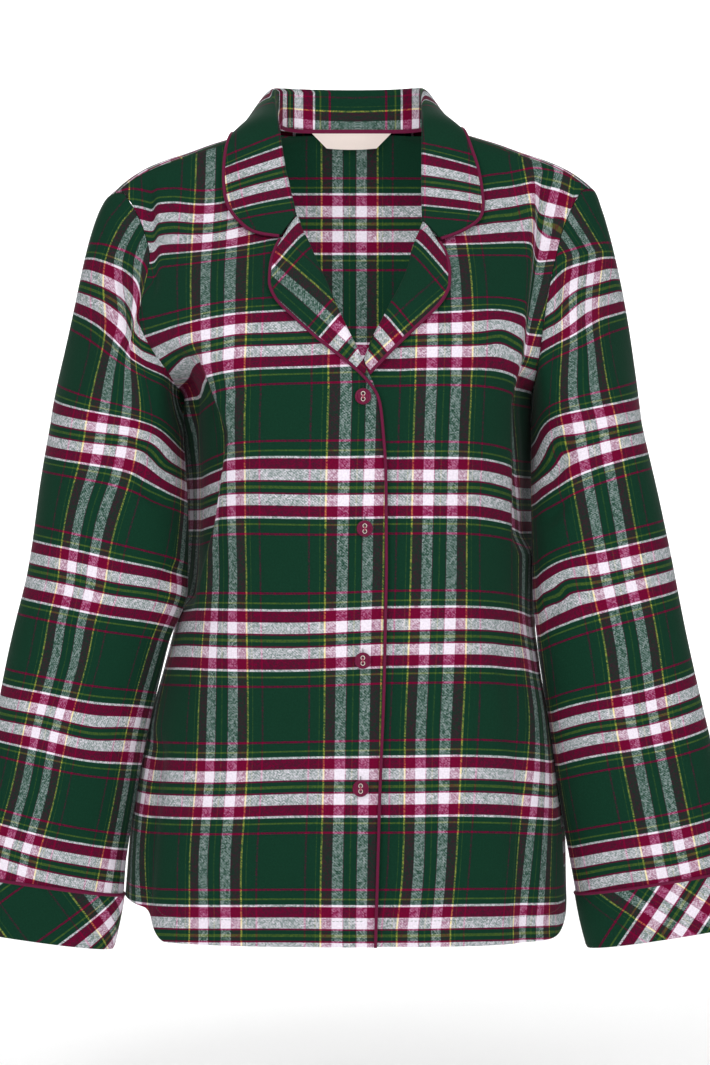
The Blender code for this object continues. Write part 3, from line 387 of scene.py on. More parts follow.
# %% A socket that can be reckoned with
class Value:
    def __init__(self, shader, socket):
        self.shader, self.socket = shader, socket

    def math(self, operation, *others):
        return self.shader.node("ShaderNodeMath", {"operation": operation}, [self, *others])

    def __add__(self, other): return self.math("ADD", other)
    def __radd__(self, other): return self.math("ADD", other)
    def __sub__(self, other): return self.math("SUBTRACT", other)
    def __rsub__(self, other): return self.shader.wrap(other).math("SUBTRACT", self)
    def __mul__(self, other): return self.math("MULTIPLY", other)
    def __rmul__(self, other): return self.math("MULTIPLY", other)
    def __truediv__(self, other): return self.math("DIVIDE", other)


class Shader:
    """A material and the one way in which nodes are added to it."""

    def __init__(self, name):
        self.material = bpy.data.materials.new(name)
        self.material.use_nodes = True
        self.tree = self.material.node_tree
        self.surface = self.tree.nodes["Principled BSDF"]

    def wrap(self, number):
        return self.node("ShaderNodeValue", {}, [], number=number)

    def node(self, kind, settings, values, output=0, number=None):
        node = self.tree.nodes.new(kind)
        for name, setting in settings.items():
            if name == "stops":
                self.set_stops(node.color_ramp, setting)
            else:
                setattr(node, name, setting)
        if number is not None:
            node.outputs[0].default_value = number
        items = values.items() if isinstance(values, dict) else enumerate(values)
        for key, value in items:
            self.join(node.inputs[key], value)
        return Value(self, node.outputs[output])

    def join(self, socket, value):
        if isinstance(value, Value):
            self.tree.links.new(value.socket, socket)
        elif value is not None:
            socket.default_value = value

    @staticmethod
    def set_stops(ramp, stops):
        ramp.interpolation = "LINEAR"
        while len(ramp.elements) < len(stops):
            ramp.elements.new(0.5)
        for element, (place, colour) in zip(ramp.elements, stops):
            element.position = place
        for element, (place, colour) in zip(ramp.elements, stops):
            element.color = colour

    def other(self, value, output):
        return Value(self, value.socket.node.outputs[output])

    def finish(self, links, **constants):
        for name, value in {**constants, **links}.items():
            self.join(self.surface.inputs[name.replace("_", " ")], value)
        return self.material


# %% [markdown]
# ## The plaid
# The flannel is woven: warp threads run down the cloth, weft threads across it, and each set
# repeats its own stripes.  Two ramps give the threads' colours by their distance from the
# middle of the nearest group of stripes, and the weave shows some of each.  A fine grain
# decides which thread lies on top from place to place, which speckles the cloth only where
# the two threads differ, as on the real one.

# %% Stripes: edges in metres from the middle of a group, with the colour up to that edge
GREEN, PALE, BURGUNDY = (0.080, 0.215, 0.158), (0.930, 0.895, 0.940), (0.440, 0.010, 0.190)
YELLOW, OLIVE, RED = (0.95, 0.86, 0.33), (0.30, 0.38, 0.16), (0.44, 0.02, 0.19)
BROWN = (0.36, 0.06, 0.18)
WARP_STRIPES = [
    (0.0005, OLIVE), (0.0046, GREEN), (0.0052, BURGUNDY), (0.0132, PALE), (0.0207, BROWN),
    (0.0221, YELLOW), (0.0249, GREEN), (0.0256, OLIVE), (0.0323, GREEN), (0.0337, RED),
    (0.0510, GREEN),
]
WEFT_STRIPES = [
    (0.0011, OLIVE), (0.0040, GREEN), (0.0053, BURGUNDY), (0.0138, PALE), (0.0220, BURGUNDY),
    (0.0237, PALE), (0.0273, GREEN), (0.0286, OLIVE), (0.0344, GREEN), (0.0361, RED),
    (0.0571, GREEN),
]
WEFT_SHARE = {GREEN: 0.70, BURGUNDY: 0.72}
PLAIN_SHARE = 0.66       # the weft's share on the face, where no colour says otherwise
STRIPE_BLUR, TWILL = 0.00025, 0.0021
TUFT_SCALE, SLUB_SCALE, NAP_SCALE = 1000.0, 160.0, 700.0
TUFT_MIX, SLUB_MIX, TWILL_MIX = 0.40, 0.20, 0.16      # how far each moves the weft's share
NAP_DARK, NAP_RANGE, GAMMA = 0.88, 0.24, 2.2


def stripe_stops(stripes, half_repeat):
    """Ramp stops, with each edge a narrow slope; alpha is the weft's share on the face."""
    def shown(colour):
        return (*colour, WEFT_SHARE.get(colour, PLAIN_SHARE))

    stops = [(0.0, shown(stripes[0][1]))]
    for (edge, colour), (_, following) in zip(stripes, stripes[1:]):
        stops.append(((edge - STRIPE_BLUR / 2) / half_repeat, shown(colour)))
        stops.append(((edge + STRIPE_BLUR / 2) / half_repeat, shown(following)))
    return stops


def plaid_colour(shader):
    """Base colour of the flannel and its fine grain, from the map of the cloth."""
    place = shader.node("ShaderNodeUVMap", {"uv_map": "cloth"}, [])
    metres = shader.node("ShaderNodeVectorMath", {"operation": "MULTIPLY"},
                         [place, (WARP_REPEAT, WEFT_REPEAT, 0.0)])
    across = shader.node("ShaderNodeSeparateXYZ", {}, [place])
    down = shader.other(across, 1)
    threads = []
    for value, stripes, repeat in ((across, WARP_STRIPES, WARP_REPEAT),
                                   (down, WEFT_STRIPES, WEFT_REPEAT)):
        away = ((value + 0.5).math("FRACT") - 0.5).math("ABSOLUTE") * 2.0
        stops = stripe_stops(stripes, repeat / 2)
        threads.append(shader.node("ShaderNodeValToRGB", {"stops": stops}, [away]))
    tufts = shader.node("ShaderNodeTexVoronoi", {"voronoi_dimensions": "2D"},
                        {"Vector": metres, "Scale": TUFT_SCALE})
    grain = shader.node("ShaderNodeSeparateXYZ", {}, [shader.other(tufts, 1)])
    slub = shader.node("ShaderNodeTexNoise", {"noise_dimensions": "2D"},
                       {"Vector": metres, "Scale": SLUB_SCALE, "Detail": 2.0})
    twill = ((across * (WARP_REPEAT / TWILL) + down * (WEFT_REPEAT / TWILL)).math("FRACT")
             - 0.5).math("ABSOLUTE") * 2.0 - 0.5
    share = (shader.other(threads[1], 1) + (grain - 0.5) * TUFT_MIX + (slub - 0.5) * SLUB_MIX
             + twill * TWILL_MIX)
    woven = shader.node("ShaderNodeMix", {"data_type": "RGBA", "clamp_factor": True},
                        {0: share, 6: threads[0], 7: threads[1]}, output=2)
    nap = shader.node("ShaderNodeTexNoise", {"noise_dimensions": "2D"},
                      {"Vector": metres, "Scale": NAP_SCALE, "Detail": 3.0, "Roughness": 0.7})
    light = shader.node("ShaderNodeVectorMath", {"operation": "SCALE"},
                        {0: woven, 3: NAP_DARK + NAP_RANGE * nap})
    colour = shader.node("ShaderNodeGamma", {}, [light, GAMMA])
    return colour, grain, nap


def flannel_material():
    shader = Shader("flannel")
    colour, grain, nap = plaid_colour(shader)
    bump = shader.node("ShaderNodeBump", {}, {"Strength": 0.35, "Distance": 0.0004,
                                              "Height": grain * 0.6 + nap * 0.4})
    return shader.finish({"Base Color": colour, "Normal": bump}, Roughness=0.92,
                         Sheen_Weight=0.05, Sheen_Roughness=0.4, Specular_IOR_Level=0.10)


FLANNEL = flannel_material()
print("flannel nodes:", len(FLANNEL.node_tree.nodes))

# %% [markdown]
# ## The folds
# The wearer's shape pulls each front into a few folds beside the armholes and down the sides.
# A step sets back the cloth on its outer side and swallows some of it, so the plaid jumps
# there; a trough only sinks along a line.  Each dies out past its two ends.

# %% Folds of the body: rows of height, x, warp and weft swallowed (mm)
FOLDS = [
    ("step", -1, 0.0070, 0.0030, [(-0.040, -0.1600, 0, 0), (-0.085, -0.1590, -4, 9),
                                  (-0.125, -0.1560, -15, 10)]),
    ("step", -1, 0.0110, 0.0034, [(-0.200, -0.1230, 0, 0), (-0.251, -0.1030, -12, 4),
                                  (-0.320, -0.1130, -14, 2), (-0.372, -0.1290, 0, 0)]),
    ("step", 1, 0.0090, 0.0035, [(-0.040, 0.1460, 0, 0), (-0.070, 0.1445, 11, 6),
                                 (-0.115, 0.1405, 28, 6), (-0.190, 0.1350, 45, 4),
                                 (-0.226, 0.1270, 40, 0), (-0.325, 0.1270, 0, 0)]),
    ("trough", -1, 0.0050, 0.0075, [(-0.500, -0.1560, 0, 0), (-0.560, -0.1620, 0, 0),
                                    (-0.645, -0.1680, 0, 0)]),
    ("trough", 1, 0.0035, 0.0090, [(-0.420, 0.1180, 0, 0), (-0.530, 0.1290, 0, 0),
                                   (-0.645, 0.1330, 0, 0)]),
]
FOLD_FADE, FOLD_EDGE, FOLD_MIDDLE = 0.022, 0.16, 0.02


def fold_effect(points):
    """How far the folds push each point in, and how much warp and weft they swallow."""
    x, z = points[..., 0], points[..., 2]
    depth, swallowed = np.zeros_like(x), np.zeros((*x.shape, 2))
    for kind, side, deep, width, path in FOLDS:
        heights, places, warp, weft = np.array(sorted(path), float).T
        off = side * (x - np.interp(z, heights, places)) / width
        shape = 0.5 * (1 + np.tanh(off)) if kind == "step" else np.exp(-off ** 2)
        past = np.maximum(heights[0] - z, z - heights[-1])
        fade = np.clip(1.0 - past / FOLD_FADE, 0.0, 1.0)
        fade = np.where(past > 0, smooth(fade), 1.0)
        on_side = np.clip(side * x / FOLD_MIDDLE, 0.0, 1.0)
        depth += deep * shape * on_side * fade
        for axis, taken in enumerate((warp, weft)):
            swallowed[..., axis] += np.interp(z, heights, taken) / 1000 * shape * fade
    return depth, swallowed


# %% [markdown]
# ## The fronts
# Each front is a patch of rings between its inner edge and the armhole or side seam.  Just
# inside the lapping edge the left front is set back under the right one.

# %% Charts of the fronts: a line of the plaid (mm), and the x and height of places on it
RIGHT_WEFT = {
    0: [(-0.111, -0.087), (-0.128, -0.089), (-0.143, -0.088), (-0.157, -0.089), (-0.168, -0.093),
        (-0.090, -0.083)],
    -114.2: [(-0.042, -0.179), (-0.073, -0.179), (-0.091, -0.180), (-0.109, -0.182),
             (-0.126, -0.186), (-0.148, -0.195)],
    -228.4: [(0.008, -0.294), (-0.042, -0.294), (-0.098, -0.293)],
    -342.6: [(0.019, -0.408), (-0.042, -0.409), (-0.105, -0.410), (-0.131, -0.411)],
    -456.8: [(0.019, -0.522), (-0.042, -0.523), (-0.105, -0.524), (-0.164, -0.526)],
    -571.0: [(0.015, -0.636), (-0.073, -0.637), (-0.148, -0.640)],
}
RIGHT_WARP = {
    0: [(0.003, -0.348), (-0.004, -0.593), (0.0015, -0.240), (-0.001, -0.478)],
    -102: [(-0.106, -0.056), (-0.107, -0.129), (-0.106, -0.175), (-0.104, -0.235), (-0.101, -0.351),
           (-0.102, -0.399), (-0.103, -0.448), (-0.105, -0.519), (-0.109, -0.580),
           (-0.110, -0.628)],
}
LEFT_WEFT = {
    0: [(0.082, -0.083), (0.109, -0.079), (0.125, -0.076), (0.142, -0.072), (0.150, -0.078),
        (0.159, -0.083), (0.170, -0.091)],
    -114.2: [(0.035, -0.179), (0.073, -0.178), (0.100, -0.177), (0.114, -0.176), (0.126, -0.180)],
    -228.4: [(0.034, -0.294), (0.073, -0.293), (0.097, -0.293), (0.122, -0.299)],
    -342.6: [(0.034, -0.408), (0.096, -0.408), (0.136, -0.412)],
    -456.8: [(0.034, -0.522), (0.096, -0.523), (0.155, -0.531)],
    -571.0: [(0.034, -0.636), (0.096, -0.637), (0.159, -0.641)],
}
LEFT_WARP = {
    0: [(0.068, -0.129), (0.066, -0.241), (0.064, -0.348), (0.060, -0.478), (0.056, -0.593)],
    102: [(0.154, -0.031), (0.147, -0.520), (0.143, -0.570), (0.139, -0.630)],
    69: [(0.134, -0.111), (0.130, -0.193)],
    80.5: [(0.135, -0.473)],
}

# %% Build the fronts
ARM_ROWS, SIDE_ROWS, FRONT_COLUMNS = 84, 148, 96
ARM_LEVELS = np.linspace(SHOULDER_SEAM, UNDERARM, ARM_ROWS)
SIDE_LEVELS = np.linspace(UNDERARM, HEM_CENTRE, SIDE_ROWS + 1)[1:]
LAP_SINK, LAP_REACH, LAP_EASE, LAP_FROM, LAP_FADE = 0.0027, 0.055, 0.030, -0.170, 0.020
CLOTH_TOP = -0.0915
FRONT_WANDER, SHOULDER_EASE = 0.0011, 0.05


def edge_x(side, level):
    """Where a front's inner edge crosses a ring."""
    table = EDGE_RIGHT if side < 0 else EDGE_LEFT
    x = table.at(level, "x")
    for _ in range(4):
        x = table.at(level - shoulder_drop(x) * levels_slope(level), "x")
    return x


def profile_length(level, column, start):
    """Length of cloth down the middle of the front or back, from one level to another."""
    fine = np.linspace(RIDGE, HEM_CENTRE, 1600)
    run = travel(np.stack([BODY.at(fine, column), fine], axis=-1), 0)
    return np.interp(-level, -fine, run) - np.interp(-start, -fine, run)


def wander(grid, strength):
    """Soft unevenness of hanging cloth: a sum of long waves, stronger down the length."""
    x, y, z = grid[..., 0], grid[..., 1], grid[..., 2]
    waves = [(41, 7, 0.3, 0.5), (63, -11, 1.7, 0.35), (29, 17, 4.1, 0.5), (97, 13, 2.2, 0.22),
             (19, 31, 5.0, 0.45), (53, 43, 0.9, 0.2)]
    total = sum(size * np.sin(a * x + 0.6 * a * y + b * z + phase) for a, b, phase, size in waves)
    return strength * total


def crease_depth(points, creases):
    """Depth of soft troughs along lines seen from the front; each fades to its two ends."""
    flat = points[..., [0, 2]]
    total = np.zeros(points.shape[:-1])
    for deep, width, line in creases:
        line = np.array(line)
        length = np.linalg.norm(np.diff(line, axis=0), axis=1)
        run = np.concatenate([[0.0], np.cumsum(length)])
        best, place = np.full(total.shape, 1e9), np.zeros(total.shape)
        for k, (a, b) in enumerate(zip(line, line[1:])):
            share = np.clip(((flat - a) @ (b - a)) / length[k] ** 2, 0.0, 1.0)
            gap = np.linalg.norm(flat - a - share[..., None] * (b - a), axis=-1)
            place = np.where(gap < best, run[k] + share * length[k], place)
            best = np.minimum(best, gap)
        ends = np.sin(np.clip(place / run[-1], 0.0, 1.0) * math.pi) ** 0.6
        total += deep * np.exp(-(best / width) ** 2) * ends
    return total


def front_piece(side, name, warp_chart, weft_chart):
    levels = np.concatenate([ARM_LEVELS, SIDE_LEVELS])
    inner = edge_x(side, levels)
    outer = outer_angle(levels, side, "front")
    start = angle_of(inner, levels, side, "front") * np.sign(inner * side)
    share = np.linspace(0.0, 1.0, FRONT_COLUMNS)[None, :]
    angle = start[:, None] + (outer - start)[:, None] * share
    form = torso(np.abs(angle), levels[:, None], np.where(angle >= 0, side, -side), "front")
    grain = np.stack([inner[:, None] + side * travel(form, 1),
                      form[..., 2] - levels[:, None]
                      - profile_length(levels, "front", CLOTH_TOP)[:, None]], axis=-1)
    depth, swallowed = fold_effect(form)
    places = lay(form, grain + swallowed, warp_chart, weft_chart)
    edge = np.clip((1.0 - share) / FOLD_EDGE, 0.0, 1.0)
    ease = smooth(edge)
    outward = normals_of(form)
    outward = outward * -np.sign(outward[..., 1:2] - 1e-9)
    ease = ease * np.clip((SHOULDER_SEAM - levels[:, None]) / SHOULDER_EASE, 0.0, 1.0)
    inset = (depth + wander(form, FRONT_WANDER)) * ease
    grid = form - outward * inset[..., None]
    if side > 0:
        lap = np.clip((LAP_REACH - grid[..., 0]) / LAP_EASE, 0.0, 1.0)
        below = np.clip((LAP_FROM - grid[..., 2]) / LAP_FADE, 0.0, 1.0)
        grid[..., 1] += LAP_SINK * smooth(lap) * below
    return add_cloth(name, grid, places, WALL, normals_of(grid) * -side, FLANNEL), grid


front_right, right_grid = front_piece(-1, "right_front", RIGHT_WARP, RIGHT_WEFT)
front_left, left_grid = front_piece(1, "left_front", LEFT_WARP, LEFT_WEFT)

# %% [markdown]
# ## The back
# The back reaches over the shoulders' ridge to seams that lie a little in front of it.  Its
# top edge follows the neckline.  Its plaid runs straight down from the neck.

# %% Creases of the back: depth, width and a line of x, height
BACK_CREASES = [
    (0.0062, 0.0100, [(-0.168, -0.130), (-0.118, -0.195), (-0.078, -0.290)]),
    (0.0036, 0.0065, [(-0.160, -0.185), (-0.125, -0.225), (-0.108, -0.262)]),
    (0.0055, 0.0090, [(0.156, -0.150), (0.112, -0.228), (0.090, -0.310)]),
    (0.0030, 0.0070, [(0.118, -0.105), (0.066, -0.150), (0.022, -0.166)]),
    (0.0034, 0.0085, [(-0.034, -0.235), (-0.012, -0.325), (-0.020, -0.420)]),
    (0.0056, 0.0125, [(-0.092, -0.330), (-0.106, -0.500), (-0.116, -0.760)]),
    (0.0042, 0.0105, [(0.034, -0.400), (0.048, -0.540), (0.050, -0.740)]),
    (0.0058, 0.0135, [(0.112, -0.400), (0.126, -0.540), (0.130, -0.760)]),
    (0.0030, 0.0080, [(-0.050, -0.520), (-0.040, -0.620), (-0.042, -0.720)]),
]

# %% Build the back
BACK_X = np.concatenate([np.linspace(0.0, NECK_POINT, 34), np.linspace(NECK_POINT, 0.192, 44)[1:-1]])
BACK_START, BACK_MIDDLE, BACK_SCALE = -0.0718, -0.0045, 1.085
SEAM_Q = SHOULDER_SEAM - RIDGE
BACK_WANDER, YOKE_DEPTH, YOKE_ROWS, BACK_EDGE = 0.0018, 0.035, 24, 0.10


def back_point(share, q, side):
    """A point of the back, q past the ridge in level; q below 0 lies in front of the ridge."""
    level = RIDGE - np.abs(q)
    back = torso(outer_angle(level, side, "back") * share, level, side, "back")
    front = torso(outer_angle(level, side, "front") * share, level, side, "front")
    return np.where((q < 0)[..., None], front, back)


def neck_q(x):
    """How far past the ridge the back neckline lies at a distance from the middle."""
    q = np.linspace(0.0, 0.016, 161)
    return np.interp(BACK_NECK.at(np.abs(x), "depth"), BODY.at(RIDGE - q, "back"), q)


def back_piece():
    top_angle = outer_angle(SHOULDER_SEAM, -1, "front")
    half = np.append(angle_of(BACK_X, SHOULDER_SEAM, -1, "front") / top_angle, 1.0)
    shares = np.concatenate([-half[:0:-1], half])
    sides = np.where(shares < 0, -1, 1)
    top = np.full(len(shares), SEAM_Q)
    for _ in range(8):
        x_top = np.abs(back_point(np.abs(shares), top, sides)[:, 0])
        top = np.where(x_top < NECK_POINT - 0.0005, neck_q(x_top), SEAM_Q)
    first = RIDGE + YOKE_DEPTH
    along = np.linspace(0.0, 1.0, YOKE_ROWS)[:, None] ** 1.5
    upper = top[None] + (first - top[None]) * along
    lower = RIDGE - np.concatenate([ARM_LEVELS[ARM_LEVELS < -0.0375], SIDE_LEVELS])
    q = np.concatenate([upper, np.repeat(lower[:, None], len(shares), axis=1)])
    side = sides[None] * np.ones_like(q)
    form = back_point(np.abs(shares)[None] * np.ones_like(q), q, side)
    middle = len(shares) // 2
    length = np.sign(q) * profile_length(RIDGE - np.abs(q), "back", RIDGE)
    length -= profile_length(BACK_START, "back", RIDGE)
    reach = travel(form, 1)
    grain = np.stack([reach - reach[:, middle:middle + 1] - BACK_MIDDLE,
                      form[..., 2] - (RIDGE - np.abs(q)) - length], axis=-1)
    outward = normals_of(form)
    outward *= np.sign(outward[len(form) // 2, middle, 1])
    edge = np.clip((1 - np.abs(shares)) / BACK_EDGE, 0.0, 1.0)[None]
    below = np.clip((q - 0.05) / 0.10, 0.0, 1.0)
    ease = smooth(edge) * below
    behind = np.clip((form[..., 1] - 0.02) / 0.03, 0.0, 1.0)
    inset = (wander(form, BACK_WANDER) + crease_depth(form, BACK_CREASES) * behind) * ease
    grid = form - outward * inset[..., None]
    out = normals_of(grid)
    out *= np.sign(out[len(form) // 2, middle, 1])
    return add_cloth("back_panel", grid, grain / BACK_SCALE, WALL, out, FLANNEL)


back = back_piece()

# %% [markdown]
# ## The sleeves
# A sleeve is a stack of rings along a slanted axis.  Its cap is blended from the armhole's
# own points to the first full ring, leaving the armhole sideways at the top.

# %% Sizes of the sleeves
SLEEVE_RIGHT = Table("along outer_x outer_z inner_x inner_z middle depth", [
    (0.30, -0.2420, -0.2400, -0.1358, -0.2520, -0.012, 0.0570),
    (0.42, -0.2500, -0.3000, -0.1322, -0.3180, -0.030, 0.0510),
    (0.53, -0.2587, -0.3540, -0.1320, -0.3720, -0.034, 0.0460),
    (0.62, -0.2682, -0.3970, -0.1470, -0.4140, -0.033, 0.0430),
    (0.77, -0.2846, -0.4760, -0.1652, -0.4950, -0.030, 0.0390),
    (0.90, -0.3009, -0.5450, -0.1765, -0.5640, -0.026, 0.0360),
    (1.00, -0.3142, -0.5950, -0.1838, -0.6138, -0.022, 0.0345),
])
SLEEVE_LEFT = Table("along outer_x outer_z inner_x inner_z middle depth", [
    (0.30, 0.2290, -0.2400, 0.1412, -0.2520, -0.012, 0.0570),
    (0.42, 0.2400, -0.3000, 0.1395, -0.3180, -0.030, 0.0510),
    (0.53, 0.2510, -0.3540, 0.1390, -0.3720, -0.034, 0.0460),
    (0.62, 0.2602, -0.3970, 0.1425, -0.4140, -0.033, 0.0430),
    (0.77, 0.2786, -0.4760, 0.1566, -0.4950, -0.030, 0.0390),
    (0.90, 0.2949, -0.5450, 0.1668, -0.5640, -0.026, 0.0360),
    (1.00, 0.3077, -0.5920, 0.1753, -0.6130, -0.022, 0.0345),
])
CAP_END, SLEEVE_POWER = 0.30, 2.3
CAP_PUFF, CAP_FALL, CAP_FORWARD, CAP_TUCK, CAP_MEETS = 0.80, 1.60, 0.25, 0.70, 0.50
CAP_ROWS, SLEEVE_ROWS, SLEEVE_GRAIN = 62, 130, 0.114
CUFF_DEPTH, CUFF_EASE, CUFF_WALL = 0.0440, 0.0012, 0.0018
ARMHOLE_GAP, SLEEVE_WANDER, SLEEVE_EASE = 0.0006, 0.0010, 0.05
BEHIND_SHARE, BEHIND_SHIFT = 0.8, (0.004, 0.0, 0.012)    # the same creases, fainter, at the back

# %% Charts of the sleeves, in the same way
SLEEVE_RIGHT_WEFT = {
    0: [(-0.219, -0.132), (-0.208, -0.136), (-0.193, -0.143), (-0.176, -0.163), (-0.167, -0.180)],
    -114.2: [(-0.239, -0.246), (-0.209, -0.251), (-0.174, -0.257), (-0.158, -0.2625),
             (-0.1456, -0.2758), (-0.1354, -0.2814)],
    -228.4: [(-0.257, -0.356), (-0.213, -0.364), (-0.186, -0.371), (-0.161, -0.376)],
    -342.6: [(-0.277, -0.468), (-0.242, -0.476), (-0.205, -0.483), (-0.181, -0.486)],
    -456.8: [(-0.274, -0.579), (-0.255, -0.585), (-0.218, -0.593)],
}
SLEEVE_RIGHT_WARP = {
    0: [(-0.176, -0.103), (-0.180, -0.126), (-0.178, -0.147), (-0.180, -0.173), (-0.183, -0.200),
        (-0.186, -0.226), (-0.189, -0.244), (-0.196, -0.279), (-0.203, -0.309), (-0.213, -0.366),
        (-0.226, -0.425), (-0.241, -0.479), (-0.250, -0.531), (-0.264, -0.577)],
    92.7: [(-0.169, -0.482), (-0.175, -0.523)],
    -21.5: [(-0.184, -0.080)],
    21.5: [(-0.164, -0.126)],
}
SLEEVE_LEFT_WEFT = {
    0: [(0.208, -0.131), (0.190, -0.135), (0.176, -0.142), (0.167, -0.150), (0.158, -0.157)],
    -114.2: [(0.226, -0.242), (0.197, -0.249), (0.169, -0.257), (0.158, -0.260), (0.1535, -0.2676),
             (0.1456, -0.277)],
    -228.4: [(0.251, -0.351), (0.221, -0.359), (0.184, -0.367), (0.164, -0.3705), (0.1563, -0.3755),
             (0.148, -0.381), (0.1425, -0.3857)],
    -342.6: [(0.270, -0.461), (0.221, -0.473), (0.184, -0.481)],
    -456.8: [(0.278, -0.575), (0.246, -0.583), (0.209, -0.590)],
}
SLEEVE_LEFT_WARP = {
    0: [(0.182, -0.106), (0.179, -0.128), (0.178, -0.152), (0.179, -0.187), (0.181, -0.222),
        (0.184, -0.244), (0.194, -0.302), (0.201, -0.352), (0.214, -0.413), (0.223, -0.465),
        (0.233, -0.524), (0.246, -0.577)],
}


# %% Rings of a sleeve
def armhole_loop(side):
    """The armhole from the underarm up the back, over the ridge and down the front again."""
    levels = np.concatenate([[RIDGE, (RIDGE + SHOULDER_SEAM) / 2], ARM_LEVELS[::2], [UNDERARM]])
    front = torso(outer_angle(levels, side, "front"), levels, side, "front")
    back = torso(outer_angle(levels, side, "back"), levels, side, "back")
    back[-1] = front[-1]
    rows = []
    for line in (front, back):
        run = travel(line, 0)
        turn = math.pi * run / run[-1]
        rows.append((line, turn))
    points = np.concatenate([rows[1][0][::-1], rows[0][0][1:]])
    turn = np.concatenate([-rows[1][1][::-1], rows[0][1][1:]])
    return points, turn


def sleeve_ring(turn, along, side, grow=0.0):
    """A ring of the sleeve: turn 0 is its outer edge, a quarter turn its front."""
    table = SLEEVE_RIGHT if side < 0 else SLEEVE_LEFT
    outer = np.array([table.at(along, "outer_x"), 0.0, table.at(along, "outer_z")])
    inner = np.array([table.at(along, "inner_x"), 0.0, table.at(along, "inner_z")])
    middle = (outer + inner) / 2 + (0.0, table.at(along, "middle"), 0.0)
    reach = (outer - inner) / 2
    reach = reach * (1 + grow / np.linalg.norm(reach))
    depth = table.at(along, "depth") + grow
    cosine, sine = np.cos(turn), np.sin(turn)
    across = np.sign(cosine) * np.abs(cosine) ** (2 / SLEEVE_POWER)
    forward = np.sign(sine) * np.abs(sine) ** (2 / SLEEVE_POWER)
    return middle + across[:, None] * reach - forward[:, None] * np.array([0.0, depth, 0.0])


def sleeve_axis(along, side):
    turn = np.array([0.0, math.pi])
    here = sleeve_ring(turn, along, side).mean(axis=0)
    return unit(sleeve_ring(turn, along + 0.02, side).mean(axis=0) - here)


def sleeve_cap(points, turn, side, share):
    end = sleeve_ring(turn, CAP_END, side)
    span = np.linalg.norm(end - points, axis=1)[:, None]
    axis = sleeve_axis(CAP_END, side)
    high = (0.5 + 0.5 * np.cos(turn))[:, None]
    leave = unit(axis * (CAP_FALL - high) + np.array([side * CAP_PUFF, 0.0, 0.0]) * high
                 - np.array([0.0, CAP_FORWARD, 0.0]) * np.sin(turn)[:, None])
    leave = leave * (1 - CAP_TUCK * high)
    return hermite(share, points, span * leave, end, span * CAP_MEETS * axis)


# %% [markdown]
# One long crease slants down each sleeve's cap toward the armpit, and shorter ripples cross
# the inner edge between there and the place where the arm would bend.

# %% Creases of the sleeves: depth, width and a line of x, height
SLEEVE_CREASES = {
    -1: [(0.0050, 0.0055, [(-0.193, -0.112), (-0.189, -0.143), (-0.184, -0.166), (-0.171, -0.185),
                           (-0.160, -0.197)]),
         (0.0052, 0.0052, [(-0.176, -0.250), (-0.160, -0.262), (-0.146, -0.280)]),
         (0.0045, 0.0050, [(-0.172, -0.282), (-0.156, -0.300), (-0.142, -0.306)]),
         (0.0038, 0.0055, [(-0.158, -0.375), (-0.146, -0.362), (-0.136, -0.352)])],
    1: [(0.0045, 0.0060, [(0.170, -0.118), (0.166, -0.142), (0.158, -0.168), (0.150, -0.200)]),
        (0.0048, 0.0052, [(0.172, -0.262), (0.160, -0.272), (0.148, -0.290)]),
        (0.0042, 0.0050, [(0.168, -0.300), (0.156, -0.310), (0.146, -0.324)]),
        (0.0038, 0.0055, [(0.166, -0.372), (0.155, -0.384), (0.146, -0.400)])],
}

# %% Build the sleeves
def sleeve_piece(side, name, warp_chart, weft_chart):
    points, turn = armhole_loop(side)
    rings = [sleeve_cap(points, turn, side, s) for s in np.linspace(0.0, 1.0, CAP_ROWS)]
    rings += [sleeve_ring(turn, s, side) for s in np.linspace(CAP_END, 1.0, SLEEVE_ROWS)[1:]]
    form = np.array(rings)
    form[0] += unit(form[1] - form[0]) * ARMHOLE_GAP
    reach = travel(form, 1)
    front = np.abs(turn - math.pi / 2).argmin()
    start = sleeve_ring(np.array([0.0, math.pi]), CAP_END, side).mean(axis=0)
    axis = unit(sleeve_ring(np.array([0.0, math.pi]), 1.0, side).mean(axis=0) - start)
    grain = np.stack([-side * (reach - reach[:, front:front + 1]), -(form - start) @ axis - SLEEVE_GRAIN],
                     axis=-1)
    seen = np.repeat(((turn > 0.02) & (turn < math.pi - 0.02))[None], len(form), axis=0)
    places = lay(form, grain, warp_chart, weft_chart, seen)
    body = form[:, :-1]
    outward = out_of_tube(body)
    facing = np.clip(-outward[..., 1] * 2.0, 0.0, 1.0)
    behind = np.clip(outward[..., 1] * 2.0, 0.0, 1.0)
    depth = crease_depth(body, SLEEVE_CREASES[side]) * facing
    higher = body + BEHIND_SHIFT * np.array([side, 1, 1])
    depth += BEHIND_SHARE * crease_depth(higher, SLEEVE_CREASES[side]) * behind
    share = np.linspace(0.0, 1.0, len(form))[:, None]
    ease = np.clip(share / SLEEVE_EASE, 0.0, 1.0) * np.clip((1 - share) / SLEEVE_EASE, 0.0, 1.0)
    inset = (depth + wander(body, SLEEVE_WANDER)) * ease
    grid = body - outward * inset[..., None]
    return add_cloth(name, grid, places, WALL, out_of_tube(grid), FLANNEL, closed=True)


sleeve_right = sleeve_piece(-1, "right_sleeve", SLEEVE_RIGHT_WARP, SLEEVE_RIGHT_WEFT)
sleeve_left = sleeve_piece(1, "left_sleeve", SLEEVE_LEFT_WARP, SLEEVE_LEFT_WEFT)

# %% [markdown]
# ## The cuffs
# Each cuff carries the sleeve's end on, a little wider, in two layers.  It is cut on the bias,
# so its plaid stands at half a right angle to the sleeve's.

